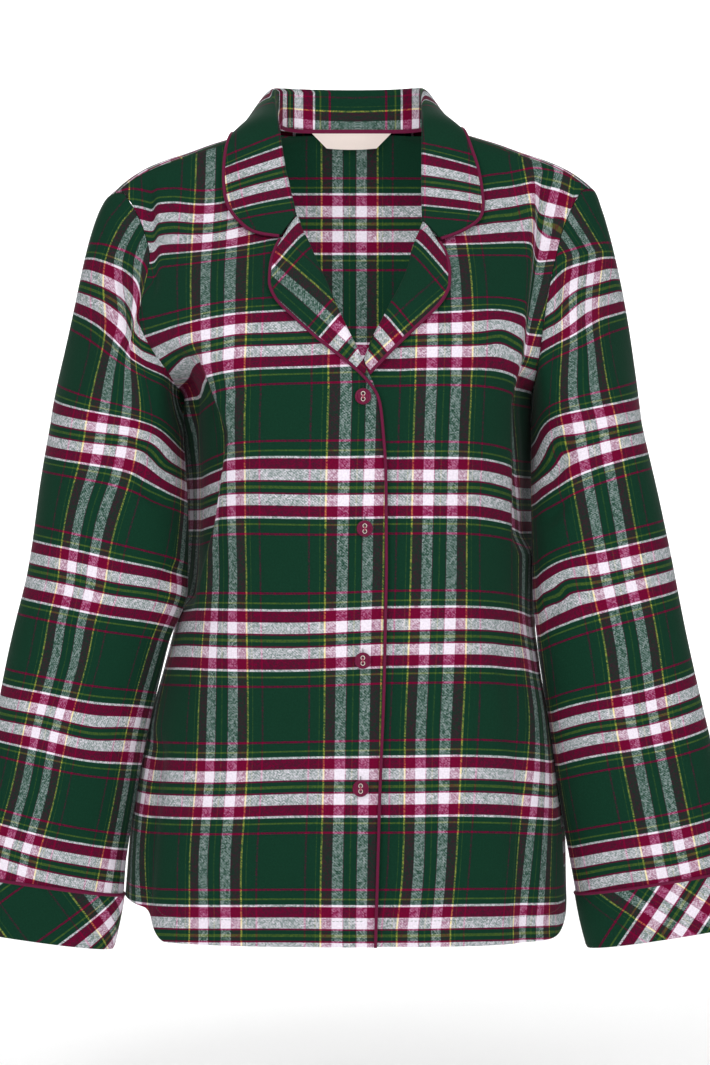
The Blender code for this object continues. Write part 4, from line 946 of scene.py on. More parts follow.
# %% Build the cuffs
CUFF_COLUMNS, CUFF_ROWS, BIAS = 132, 18, math.radians(46)
CUFF_GAP, CUFF_BELLY, CUFF_TURN = 0.0003, 0.0007, 0.0006
# the plaid's place on each cuff: a shift along it, then warp and weft at that point
CUFF_PLACE = {-1: (-0.0650, 0.0069, 0.0250), 1: (0.0650, -0.0306, 0.0674)}


def cuff_piece(side, name):
    turn = np.linspace(-math.pi, math.pi, CUFF_COLUMNS + 1)
    axis = sleeve_axis(0.96, side)
    top = sleeve_ring(turn, 1.0, side, grow=CUFF_EASE) + axis * CUFF_GAP
    down = np.linspace(0.0, 1.0, CUFF_ROWS)[:, None, None]
    grid = top + axis * CUFF_DEPTH * down
    middle = grid.mean(axis=1, keepdims=True)
    belly = CUFF_BELLY * np.sin(down * math.pi)
    grid = grid + unit(grid - middle) * (belly - CUFF_TURN * (down > 0.99))
    shift, warp, weft = CUFF_PLACE[side]
    reach = travel(grid, 1)
    along = -side * (reach - reach[:, [np.abs(turn - math.pi / 2).argmin()]]) + shift
    height = -CUFF_DEPTH * down[..., 0] * np.ones_like(along)
    places = np.stack([math.cos(BIAS) * along + math.sin(BIAS) * height + warp,
                       -math.sin(BIAS) * along + math.cos(BIAS) * height + weft], axis=-1)
    body = grid[:, :-1]
    return add_cloth(name, body, places, CUFF_WALL, out_of_tube(body), FLANNEL, closed=True)


cuff_right = cuff_piece(-1, "right_cuff")
cuff_left = cuff_piece(1, "left_cuff")

# %% [markdown]
# ## The collar
# The collar stands up from the neck seam, folds over a roll, and falls on the shoulders.  Its
# cloth is turned a quarter, so the weft's bands cross it.

# %% Sizes of the collar, from the wearer's right end to the left
COLLAR = Table("along seam_x seam_y seam_z roll_x roll_y roll_z edge_x edge_q up_y", [
    (-1.00, -0.0452, -0.0548, -0.0790, -0.0454, -0.0598, -0.0788, -0.0574, -0.1063, -0.80),
    (-0.94, -0.0468, -0.0512, -0.0745, -0.0466, -0.0568, -0.0745, -0.0690, -0.1025, -0.82),
    (-0.88, -0.0488, -0.0472, -0.0685, -0.0478, -0.0530, -0.0685, -0.0795, -0.0972, -0.85),
    (-0.82, -0.0508, -0.0442, -0.0635, -0.0491, -0.0502, -0.0635, -0.0880, -0.0880, -0.87),
    (-0.76, -0.0530, -0.0415, -0.0580, -0.0504, -0.0475, -0.0580, -0.0952, -0.0765, -0.89),
    (-0.68, -0.0553, -0.0380, -0.0505, -0.0520, -0.0445, -0.0505, -0.1008, -0.0590, -0.90),
    (-0.60, -0.0575, -0.0350, -0.0430, -0.0540, -0.0415, -0.0430, -0.1022, -0.0376, -0.88),
    (-0.52, -0.0632, -0.0280, -0.0240, -0.0568, -0.0345, -0.0260, -0.1010, -0.0180, -0.75),
    (-0.45, -0.0660, -0.0170, -0.0055, -0.0596, -0.0220, -0.0060, -0.0970, -0.0040, -0.45),
    (-0.37, -0.0668, 0.0040, 0.0002, -0.0622, -0.0020, 0.0085, -0.0950, 0.0008, -0.15),
    (-0.29, -0.0618, 0.0240, -0.0002, -0.0640, 0.0160, 0.0195, -0.0925, 0.0040, 0.00),
    (-0.21, -0.0545, 0.0435, -0.0010, -0.0642, 0.0360, 0.0297, -0.0830, 0.0105, 0.00),
    (-0.14, -0.0440, 0.0550, -0.0008, -0.0552, 0.0530, 0.0321, -0.0660, 0.0230, 0.05),
    (-0.07, -0.0240, 0.0620, -0.0003, -0.0280, 0.0640, 0.0325, -0.0380, 0.0370, 0.10),
    (0.00, 0.0000, 0.0645, 0.0000, -0.0040, 0.0660, 0.0325, 0.0000, 0.0420, 0.10),
    (0.07, 0.0240, 0.0620, -0.0003, 0.0210, 0.0640, 0.0325, 0.0320, 0.0380, 0.10),
    (0.14, 0.0440, 0.0550, -0.0008, 0.0440, 0.0530, 0.0323, 0.0560, 0.0250, 0.05),
    (0.21, 0.0535, 0.0435, -0.0010, 0.0530, 0.0360, 0.0303, 0.0710, 0.0125, 0.00),
    (0.29, 0.0590, 0.0240, -0.0002, 0.0530, 0.0160, 0.0205, 0.0790, 0.0050, 0.00),
    (0.37, 0.0625, 0.0040, 0.0010, 0.0530, -0.0020, 0.0095, 0.0815, 0.0010, -0.15),
    (0.45, 0.0618, -0.0170, -0.0035, 0.0528, -0.0220, -0.0045, 0.0850, -0.0040, -0.45),
    (0.52, 0.0605, -0.0280, -0.0230, 0.0525, -0.0345, -0.0240, 0.0905, -0.0180, -0.75),
    (0.60, 0.0575, -0.0350, -0.0430, 0.0522, -0.0415, -0.0430, 0.0955, -0.0340, -0.88),
    (0.68, 0.0562, -0.0385, -0.0520, 0.0521, -0.0450, -0.0520, 0.0982, -0.0520, -0.90),
    (0.76, 0.0552, -0.0425, -0.0600, 0.0521, -0.0490, -0.0600, 0.0992, -0.0690, -0.89),
    (0.82, 0.0545, -0.0462, -0.0665, 0.0521, -0.0525, -0.0665, 0.0972, -0.0800, -0.87),
    (0.88, 0.0538, -0.0500, -0.0725, 0.0521, -0.0558, -0.0725, 0.0910, -0.0890, -0.84),
    (0.94, 0.0532, -0.0540, -0.0780, 0.0522, -0.0595, -0.0780, 0.0800, -0.0985, -0.80),
    (1.00, 0.0512, -0.0594, -0.0828, 0.0524, -0.0640, -0.0838, 0.0650, -0.1075, -0.76),
])
COLLAR_WALL, COLLAR_ROLL, COLLAR_LIFT = 0.0022, 0.0034, 0.0046
COLLAR_STATIONS, STAND_POINTS, ROLL_POINTS, FALL_POINTS = 200, 9, 6, 26


def on_body(x, q):
    level = RIDGE - np.abs(q)
    side = np.where(x < 0, -1, 1)
    front = torso(angle_of(x, level, side, "front"), level, side, "front")
    back = torso(angle_of(x, level, side, "back"), level, side, "back")
    return np.where((q < 0)[..., None], front, back)


def body_normals(x, q, step=0.0012):
    across = on_body(x + step, q) - on_body(x - step, q)
    backward = on_body(x, q + step) - on_body(x, q - step)
    return unit(np.cross(across, backward))


def smooth_line(points, times=4):
    for _ in range(times):
        points[1:-1] = (points[:-2] + 2 * points[1:-1] + points[2:]) / 4
    return points


# %% Build the collar
COLLAR_MIDDLE, COLLAR_GROUPS = 0.0071, ((0.0, 0.0608, 0.170, 0.284), (0.0571, 0.1142, 0.2284, 0.3426))
# heights of six weft lines at an outer and an inner distance from the middle, and the lines
FALL_LINES = (0.0353, 0.0279, 0.0228, 0.0, -0.0228, -0.0353)
FALL_CHART = {
    -1: (-0.1004, (-0.0280, -0.0348, -0.0372, -0.0556, -0.0740, -0.0830),
         -0.0568, (-0.0105, -0.0162, -0.0219, -0.0432, -0.0651, -0.0758)),
    1: (0.0968, (-0.0290, -0.0346, -0.0387, -0.0570, -0.0746, -0.0835),
        0.0530, (-0.0195, -0.0236, -0.0277, -0.0510, -0.0705, -0.0800)),
}


def fall_weft(points, side):
    """The weft line at points of the fall, read off the chart's two columns of heights."""
    outer_x, outer, inner_x, inner = FALL_CHART[side]
    share = np.clip((points[..., 0] - outer_x) / (inner_x - outer_x), -0.2, 1.3)
    z = points[..., 2]
    heights = [a + (b - a) * share for a, b in zip(outer, inner)]
    result = FALL_LINES[0] + (z - heights[0])
    for k in range(len(heights) - 1):
        inside = (z <= heights[k]) & ((z > heights[k + 1]) | (k == len(heights) - 2))
        part = (heights[k] - z) / (heights[k] - heights[k + 1])
        result = np.where(inside, FALL_LINES[k] + (FALL_LINES[k + 1] - FALL_LINES[k]) * part, result)
    return result


def collar_grid():
    along = np.linspace(-1.0, 1.0, COLLAR_STATIONS)

    def column(*names):
        return np.stack([COLLAR.at(along, name) for name in names], axis=-1)

    seam = smooth_line(column("seam_x", "seam_y", "seam_z"))
    roll = smooth_line(column("roll_x", "roll_y", "roll_z"))
    edge_x, edge_q = COLLAR.at(along, "edge_x"), COLLAR.at(along, "edge_q")
    edge = smooth_line(on_body(edge_x, edge_q) + body_normals(edge_x, edge_q) * COLLAR_LIFT)
    lean = smooth_line(COLLAR.at(along, "up_y"))
    up = np.stack([np.zeros_like(lean), lean, np.sqrt(1 - lean ** 2)], axis=-1)
    out = edge - roll
    out = smooth_line(unit(out - up * (out * up).sum(axis=1, keepdims=True)))
    lines = [seam + (roll - seam) * s for s in np.linspace(0.0, 1.0, STAND_POINTS)[:-1]]
    middle = roll + out * COLLAR_ROLL
    for turn in np.linspace(0.0, math.pi / 2, ROLL_POINTS):
        lines.append(middle + COLLAR_ROLL * (up * math.sin(turn) - out * math.cos(turn)))
    top = lines[-1]
    reach = ((edge - top) * out).sum(axis=1, keepdims=True)
    lead = top + out * (0.55 * reach + 0.003)
    for s in np.linspace(0.0, 1.0, FALL_POINTS)[1:]:
        lines.append(top * (1 - s) ** 2 + lead * (2 * s * (1 - s)) + edge * s ** 2)
    return along, np.stack(lines, axis=1)


def collar_piece():
    along, grid = collar_grid()
    run = travel(grid[:, 0], 0)
    run = run - np.interp(COLLAR_MIDDLE, along, run)
    crossing = travel(grid, 1)
    crossing = crossing - crossing[:, STAND_POINTS - 1:STAND_POINTS]
    start = np.interp(np.abs(along), (0.0, 0.25, 0.55, 1.0), (0.0366, 0.0350, 0.0283, 0.0283))
    share = np.clip(crossing / crossing[:, -1:], 0.0, 1.0)
    nape = np.abs(along) < 0.37
    upright = np.interp(grid[..., 0], grid[nape, 0, 0], run[nape]) - run[:, None]
    upright *= np.clip((0.36 - np.abs(along)) / 0.12, 0.0, 1.0)[:, None]
    upright *= np.clip(1.0 - share / 0.15, 0.0, 1.0)
    weft = np.interp(np.abs(run[:, None] + upright), *COLLAR_GROUPS)
    charted = np.where(along[:, None] < 0, fall_weft(grid, -1), fall_weft(grid, 1))
    charted[:, :STAND_POINTS] = charted[:, STAND_POINTS:STAND_POINTS + 1]
    front = smooth(np.clip((np.abs(along) - 0.30) / 0.22, 0.0, 1.0))[:, None]
    weft = weft + (0.2284 - charted - weft) * front
    places = np.stack([start[:, None] + crossing, weft], axis=-1)
    wave = 0.0008 * np.sin(9 * along[:, None] + 2.0) * np.sin(math.pi * share)
    out = -normals_of(grid)
    grid = grid + out * wave[..., None]
    return add_cloth("collar_turned", grid, places, COLLAR_WALL, -normals_of(grid), FLANNEL), grid


collar, collar_points = collar_piece()

# %% [markdown]
# ## The lapels
# Below the notch each front turns out along its roll line, and its facing shows.  The facing
# is turned over along a slanting line, so its plaid runs slantwise; a chart places it.

# %% Sizes of the lapels
LAPEL_RIGHT = Table("along roll_x roll_z edge_x edge_z", [
    (0.00, -0.0440, -0.0815, -0.0566, -0.1000), (0.12, -0.0405, -0.0920, -0.0610, -0.1095),
    (0.25, -0.0350, -0.1035, -0.0640, -0.1225), (0.40, -0.0290, -0.1185, -0.0645, -0.1350),
    (0.52, -0.0235, -0.1305, -0.0600, -0.1470), (0.65, -0.0160, -0.1485, -0.0465, -0.1605),
    (0.78, -0.0075, -0.1670, -0.0262, -0.1788), (0.90, 0.0010, -0.1840, -0.0060, -0.1945),
    (1.00, 0.0088, -0.2010, 0.0070, -0.2060),
])
LAPEL_LEFT = Table("along roll_x roll_z edge_x edge_z", [
    (0.00, 0.0522, -0.0862, 0.0640, -0.1024), (0.12, 0.0500, -0.0925, 0.0690, -0.1115),
    (0.25, 0.0463, -0.1010, 0.0715, -0.1240), (0.40, 0.0400, -0.1240, 0.0712, -0.1360),
    (0.52, 0.0340, -0.1380, 0.0660, -0.1480), (0.66, 0.0260, -0.1530, 0.0490, -0.1655),
    (0.80, 0.0180, -0.1690, 0.0300, -0.1838), (1.00, 0.0070, -0.1945, 0.0100, -0.2042),
])
LAPEL_WALL, LAPEL_LIFT, LAPEL_CROWN, LAPEL_EDGE_LIFT = 0.0020, 0.0026, 0.0030, 0.0036
LAPEL_ROWS, LAPEL_COLUMNS, YELLOW_PLACE = 90, 34, 0.0215
LEFT_TIP, LEFT_TIP_FADE = 1.05, 0.20     # the left lapel sinks to the front toward its tip
LAPEL_PLAID = {
    # a yellow thread's start and direction, then weft by length along it
    -1: ((-0.0560, -0.1156), (0.7446, -0.6677), (-0.0448, -0.1036),
         (-0.0300, 0.0, 0.0627, 0.0855, 0.1200), (0.0070, -0.0230, -0.0912, -0.1142, -0.1490)),
    1: ((0.0647, -0.1468), (-0.7450, -0.6670), (0.0551, -0.1117),
        (-0.0300, 0.0, 0.0570, 0.0793, 0.1200), (0.0070, -0.0230, -0.0912, -0.1142, -0.1550)),
}


def on_front(x, z):
    level = level_at(x, z)
    side = np.where(x < 0, -1, 1)
    return torso(angle_of(x, level, side, "front"), level, side, "front")


def front_normals(points):
    x, z, step = points[..., 0], points[..., 2], 0.002
    across = on_front(x + step, z) - on_front(x - step, z)
    up = on_front(x, z + step) - on_front(x, z - step)
    return unit(np.cross(across, up))


def lapel_piece(side, name, table):
    along = np.linspace(0.0, 1.0, LAPEL_ROWS)[:, None]
    share = (np.linspace(0.0, 1.0, LAPEL_COLUMNS) ** 1.25)[None]
    x = table.at(along, "roll_x") * (1 - share) + table.at(along, "edge_x") * share
    z = table.at(along, "roll_z") * (1 - share) + table.at(along, "edge_z") * share
    base = on_front(x, z)
    lift = LAPEL_LIFT + (LAPEL_EDGE_LIFT - LAPEL_LIFT) * share
    lift = lift + LAPEL_CROWN * np.sin(np.pi * share ** 0.5)
    if side > 0:
        lift = lift * np.clip((LEFT_TIP - along) / LEFT_TIP_FADE, 0.0, 1.0)
    grid = base + front_normals(base) * lift[..., None]
    yellow, way, start, lengths, wefts = LAPEL_PLAID[side]
    spot = np.stack([x, z], axis=-1)
    outer = np.array((way[1], -way[0])) * (1 if side < 0 else -1)
    places = np.stack([(spot - yellow) @ outer - YELLOW_PLACE,
                       np.interp((spot - start) @ np.array(way), lengths, wefts)], axis=-1)
    return add_cloth(name, grid, places, LAPEL_WALL, toward_front(grid), FLANNEL), grid


lapel_right, lapel_right_points = lapel_piece(-1, "right_lapel", LAPEL_RIGHT)
lapel_left, lapel_left_points = lapel_piece(1, "left_lapel", LAPEL_LEFT)

# %% [markdown]
# ## The piping
# A thin cord wrapped in burgundy cotton is sewn into the edges.  Each is a tube swept along
# its edge, a little flattened, with a closed end.

# %% Piping material
def plain_cloth(name, colour, scale=900.0, rough=0.75, sheen=0.2, depth=0.10):
    shader = Shader(name)
    place = shader.node("ShaderNodeTexCoord", {}, [], output=3)
    grain = shader.node("ShaderNodeTexNoise", {}, {"Vector": place, "Scale": scale, "Detail": 2.0})
    dark = tuple(c * (1 - depth) for c in colour)
    pale = tuple(min(1.0, c * (1 + depth)) for c in colour)
    mixed = shader.node("ShaderNodeMix", {"data_type": "RGBA"},
                        {0: grain, 6: (*dark, 1.0), 7: (*pale, 1.0)}, output=2)
    bump = shader.node("ShaderNodeBump", {}, {"Strength": 0.3, "Distance": 0.0002,
                                              "Height": grain})
    return shader.finish({"Base Color": mixed, "Normal": bump}, Roughness=rough,
                         Sheen_Weight=sheen, Specular_IOR_Level=0.25)


PIPING = plain_cloth("burgundy_piping", (0.130, 0.002, 0.036), sheen=0.04)
PIPING_RADIUS, PIPING_GAP, NOTCH_GAP = 0.0014, 0.0003, 0.0010
COLLAR_SINK, LAPEL_SINK, CUFF_SINK = 0.0008, 0.0006, 0.0007
LAPPING_TOP, LAPPING_SHIFT = -0.2150, (0.0002, -0.0017, 0.0)


# %% A cord along a line of points
def add_cord(name, path, material, closed=False, flat=0.85, radius=PIPING_RADIUS, sides=14):
    if closed:
        along = unit(np.roll(path, -1, axis=0) - np.roll(path, 1, axis=0))
    else:
        along = unit(np.gradient(path, axis=0))
    side = Vector(along[0]).orthogonal().normalized()
    turns = np.linspace(0, 2 * math.pi, sides, endpoint=False)
    points = []
    for here, way in zip(path, along):
        way = Vector(way)
        side = (side - way * side.dot(way)).normalized()
        up = np.array(way.cross(side))
        across = np.array(side)
        points.append(here + radius * (np.cos(turns)[:, None] * across
                                       + flat * np.sin(turns)[:, None] * up))
    points = np.array(points)
    count = len(points)
    faces = []
    for i in range(count if closed else count - 1):
        j = (i + 1) % count
        for k in range(sides):
            m = (k + 1) % sides
            faces.append([i * sides + k, i * sides + m, j * sides + m, j * sides + k])
    if not closed:
        faces.append(list(range(sides))[::-1])
        faces.append([(count - 1) * sides + k for k in range(sides)])
    piece = add_mesh(name, points.reshape(-1, 3), faces, material)
    mend(piece)
    return piece


def cord_beside(edge, inside, normals):
    """The path of a piping sewn along an edge, given a line of points just inside the edge."""
    away = edge - inside
    along = unit(np.gradient(edge, axis=0))
    for direction in (normals, along):
        away = away - direction * (away * direction).sum(axis=1, keepdims=True)
    return edge + unit(away) * (PIPING_RADIUS * 0.7 + PIPING_GAP)


def shorten(path, first, last):
    path = path.copy()
    path[0] += unit(path[1] - path[0]) * first
    path[-1] += unit(path[-2] - path[-1]) * last
    return path


# %% Lay the piping
def lay_piping():
    along = np.linspace(-1.0, 1.0, len(collar_points))
    normals = body_normals(COLLAR.at(along, "edge_x"), COLLAR.at(along, "edge_q"))
    path = cord_beside(collar_points[:, -1], collar_points[:, -3], normals) - normals * COLLAR_SINK
    cords = {"piping_collar": add_cord("collar_piping", shorten(path, NOTCH_GAP, NOTCH_GAP), PIPING)}
    paths = []
    for grid in (lapel_right_points, lapel_left_points):
        normals = front_normals(grid[:, -1])
        paths.append(cord_beside(grid[:, -1], grid[:, -3], normals) - normals * LAPEL_SINK)
    edge = right_grid[:, 0]
    lapping = edge[edge[:, 2] < LAPPING_TOP] + LAPPING_SHIFT
    whole = smooth_line(np.concatenate([paths[0], lapping]), 6)
    cords["piping_front_right"] = add_cord("front_piping", shorten(whole, NOTCH_GAP, 0.0), PIPING)
    cords["piping_lapel_left"] = add_cord("left_lapel_piping",
                                          shorten(smooth_line(paths[1]), NOTCH_GAP, 0.0), PIPING)
    turn = np.linspace(0.0, 2 * math.pi, 181)[:-1]
    for side, word in ((-1, "right"), (1, "left")):
        ring = sleeve_ring(turn, 1.0, side, grow=CUFF_EASE - CUFF_SINK)
        cords["piping_cuff_" + word] = add_cord(word + "_cuff_piping", ring, PIPING, closed=True)
    return cords


cords = lay_piping()
print("pipings:", ", ".join(cords))

# %% [markdown]
# ## Neck tape and label
# A narrow burgundy tape covers the neck seam inside, and a bare label hangs from it.

# %% Build the tape and the label
SATIN = plain_cloth("pale_satin", (0.80, 0.69, 0.635), scale=1500.0, rough=0.5, sheen=0.1,
                    depth=0.04)
TAPE_HEIGHT, LABEL_HEIGHT, LABEL_X = 0.0032, 0.0120, -0.0028
LABEL_TOP, LABEL_FOOT, TAPE_REACH = 0.0325, 0.0205, 0.27
TAPE_ENDS, TAPE_TOP, TAPE_ROWS = (-0.0590, 0.0570), 0.0026, 7
TAPE_WALL, LABEL_WALL = 0.0007, 0.0005


def neck_line(x, rise):
    """A point this far above the neck seam, just inside the stand."""
    along = np.linspace(-TAPE_REACH, TAPE_REACH, 121)
    seam = smooth_line(np.stack([COLLAR.at(along, "seam_" + a) for a in "xyz"], axis=-1))
    inward = unit(seam * (-1, -1, 0) + (0, -0.02, 0))
    points = seam + inward * 0.0012
    y = np.interp(x, points[:, 0], points[:, 1])
    z = np.interp(x, points[:, 0], points[:, 2])
    return np.stack([x, y + 0.02 * rise, z + rise], axis=-1)


def tape_and_label():
    x = np.linspace(*TAPE_ENDS, 120)[None] * np.ones((TAPE_ROWS, 1))
    rise = np.linspace(TAPE_TOP, TAPE_TOP - TAPE_HEIGHT, TAPE_ROWS)[:, None] * np.ones_like(x)
    grid = neck_line(x, rise)
    grid[..., 1] -= 0.0004 * np.sin(np.linspace(0, math.pi, TAPE_ROWS))[:, None]
    out = toward_front(grid)
    tape = add_cloth("neck_seam_tape", grid, np.stack([x, rise], axis=-1), TAPE_WALL, out, PIPING)
    share = np.linspace(0.0, 1.0, 26)[:, None]
    half = LABEL_TOP + (LABEL_FOOT - LABEL_TOP) * share
    place = np.linspace(-1.0, 1.0, 60)[None]
    x = LABEL_X + half * place
    bow = 0.0012 * (1 - place ** 2) * share
    fall = -0.0004 - LABEL_HEIGHT * share - bow
    grid = neck_line(x, np.zeros_like(fall))
    grid[..., 2] += fall
    grid[..., 1] += 0.0035 * share - 0.0010 * np.sin(share * 2.6) * (0.6 + 0.4 * np.cos(x * 70))
    out = toward_front(grid)
    label = add_cloth("bare_label", grid, np.stack([x, fall], axis=-1), LABEL_WALL, out, SATIN)
    return tape, label


tape, label = tape_and_label()

# %% [markdown]
# ## Buttons
# Four round buttons of wine-red plastic close the front, each with two holes one above the
# other and a few stitches between them.  Buttons are closed, as they are worn.

# %% Materials of the buttons
def gloss(name, colour, rough):
    shader = Shader(name)
    place = shader.node("ShaderNodeTexCoord", {}, [], output=3)
    cloud = shader.node("ShaderNodeTexNoise", {}, {"Vector": place, "Scale": 220.0, "Detail": 3.0})
    mixed = shader.node("ShaderNodeMix", {"data_type": "RGBA"},
                        {0: cloud, 6: (*[c * 0.85 for c in colour], 1.0),
                         7: (*[c * 1.15 for c in colour], 1.0)}, output=2)
    return shader.finish({"Base Color": mixed}, Roughness=rough, Specular_IOR_Level=0.18)


SHELL = gloss("button_shell", (0.140, 0.004, 0.036), 0.32)
# painted highlight: a pale ring round each hole stands for the light caught on the holes' rims
HOLE_HIGHLIGHT = gloss("button_hole_painted_highlight", (0.72, 0.68, 0.60), 0.4)
# painted shade: the holes' walls are near-black, for the shade inside the holes
HOLE_SHADE = gloss("button_hole_painted_shade", (0.006, 0.006, 0.006), 0.6)
THREAD = plain_cloth("button_thread", (0.36, 0.05, 0.10), scale=2500.0, depth=0.2)
BUTTONHOLE = plain_cloth("buttonhole_thread", (0.012, 0.042, 0.026), scale=2500.0, depth=0.3)

# %% Sizes of the buttons
BUTTON_RADIUS, BUTTON_THICK, HOLE_RADIUS, HOLE_OFFSET = 0.0063, 0.0026, 0.0010, 0.0021
BUTTONS = [(0.0062, -0.2230), (0.0075, -0.3240), (0.0060, -0.4250), (0.0043, -0.5230)]
BUTTON_STANDS, RIM, DISH, BUTTON_SIDES = 0.0006, 0.0012, 0.0007, 72
RING_OUT, RING_THICK, THREAD_THICK, THREAD_APART = 0.0005, 0.00042, 0.00024, 0.00038


# %% Build a button lying flat, then set it on the front
def button_height(r):
    """The height of the button's face at a distance from its middle."""
    inside = BUTTON_THICK - DISH
    rim = np.clip((r - (BUTTON_RADIUS - 2 * RIM)) / RIM, 0.0, 1.0)
    fall = np.clip((r - (BUTTON_RADIUS - 0.7 * RIM)) / (0.7 * RIM), 0.0, 1.0)
    face = inside + DISH * smooth(rim)
    return face - 0.0008 * (1 - np.sqrt(np.clip(1 - fall ** 2, 0.0, 1.0)))


def button_shape(name):
    """Rings of the face, the side and the back; two bores are cut with a boolean."""
    radii = np.concatenate([np.linspace(0.0, 0.0038, 8)[1:], np.linspace(0.0040, BUTTON_RADIUS, 20)])
    profile = [(r, float(button_height(r))) for r in radii]
    profile += [(BUTTON_RADIUS, 0.0009), (BUTTON_RADIUS - 0.0002, 0.0004),
                (BUTTON_RADIUS - 0.0007, 0.0), (0.003, 0.0)]
    sides = BUTTON_SIDES
    turns = np.linspace(0, 2 * math.pi, sides, endpoint=False)
    points = [(0.0, 0.0, BUTTON_THICK - DISH)]
    for r, h in profile:
        points += [(r * math.cos(t), r * math.sin(t), h) for t in turns]
    points.append((0.0, 0.0, 0.0))
    last = len(points) - 1
    faces = [[0, 1 + k, 1 + (k + 1) % sides] for k in range(sides)]
    for ring in range(len(profile) - 1):
        a, b = 1 + ring * sides, 1 + (ring + 1) * sides
        faces += [[a + k, b + k, b + (k + 1) % sides, a + (k + 1) % sides] for k in range(sides)]
    end = 1 + (len(profile) - 1) * sides
    faces += [[end + (k + 1) % sides, end + k, last] for k in range(sides)]
    piece = add_mesh(name, points, faces, SHELL)
    mend(piece)
    return piece


def bore(piece):
    """Cut the two holes and give their walls a near-black painted shade; the cutters are removed
    afterwards.
    """
    cutters = []
    for sign in (-1, 1):
        bpy.ops.mesh.primitive_cylinder_add(vertices=40, radius=HOLE_RADIUS, depth=0.01,
                                            location=(0, sign * HOLE_OFFSET, 0.001))
        cutters.append(bpy.context.object)
    for cutter in cutters:
        cut = piece.modifiers.new("bore", "BOOLEAN")
        cut.object, cut.operation, cut.solver = cutter, "DIFFERENCE", "EXACT"
    bpy.context.view_layer.update()
    shape = bpy.data.meshes.new_from_object(piece.evaluated_get(
        bpy.context.evaluated_depsgraph_get()))
    piece.modifiers.clear()
    piece.data = shape
    for cutter in cutters:
        bpy.data.objects.remove(cutter)
    shape.materials.clear()
    shape.materials.append(SHELL)
    shape.materials.append(HOLE_SHADE)
    for face in shape.polygons:
        x, y, z = face.center
        inside = min(math.hypot(x, y - s * HOLE_OFFSET) for s in (-1, 1)) < HOLE_RADIUS * 0.999
        # the walls of the two bores take the painted shade
        face.material_index = 1 if inside and abs(face.normal.z) < 0.5 else 0
        face.use_smooth = True
    shape.set_sharp_from_angle(angle=math.radians(35))


def highlight_rings_and_thread(name):
    """A pale ring round each hole, a painted highlight on the holes' rims, and the bar of thread between
    the holes.
    """
    top = BUTTON_THICK - DISH
    turns = np.linspace(0, 2 * math.pi, 32, endpoint=False)
    parts = []
    # pale rings of painted highlight on the holes' rims
    for sign, word in ((-1, "low"), (1, "high")):
        centre = np.array([0.0, sign * HOLE_OFFSET, top + 0.00005])
        ring = centre + (HOLE_RADIUS + RING_OUT) * np.stack([np.cos(turns) * 0.95, np.sin(turns),
                                                           0 * turns], axis=-1)
        parts.append(add_cord(f"{name}_{word}_ring", ring, HOLE_HIGHLIGHT, closed=True, flat=0.5,
                              radius=RING_THICK, sides=10))
    for k, shift in enumerate((-THREAD_APART, 0.0, THREAD_APART)):
        s = np.linspace(-1.0, 1.0, 15)
        bar = np.stack([np.full_like(s, shift), s * (HOLE_OFFSET - HOLE_RADIUS * 0.4),
                        top + 0.0005 - 0.0007 * np.abs(s) ** 5], axis=-1)
        parts.append(add_cord(f"{name}_thread_{k}", bar, THREAD, flat=0.9, radius=THREAD_THICK, sides=8))
    return parts


def place_on_front(pieces, x, z):
    base = on_front(np.array([x]), np.array([z]))[0]
    out = front_normals(np.array([base]))[0]
    up = unit(np.array([0.0, 0.0, 1.0]) - out * out[2])
    across = np.cross(up, out)
    for piece in pieces:
        count = len(piece.data.vertices)
        points = np.empty(count * 3)
        piece.data.vertices.foreach_get("co", points)
        points = points.reshape(-1, 3)
        moved = (base + points[:, :1] * across + points[:, 1:2] * up
                 + (points[:, 2:] + BUTTON_STANDS) * out)
        piece.data.vertices.foreach_set("co", moved.reshape(-1))
        piece.data.update()


# %% Set the four buttons
buttons = []
for number, (x, z) in enumerate(BUTTONS, 1):
    piece = button_shape(f"shirt_button_{number}")
    bore(piece)
    extras = highlight_rings_and_thread(f"shirt_button_{number}")
    place_on_front([piece, *extras], x, z)
    buttons.append((piece, extras))
print("buttons:", len(buttons))


# %% [markdown]
# ## Stitches
# Small bars of thread lie over each buttonhole's upper end and along the fronts' hems.  They are all one
# short tube, set many times along a line by Geometry Nodes and then made into a plain mesh.

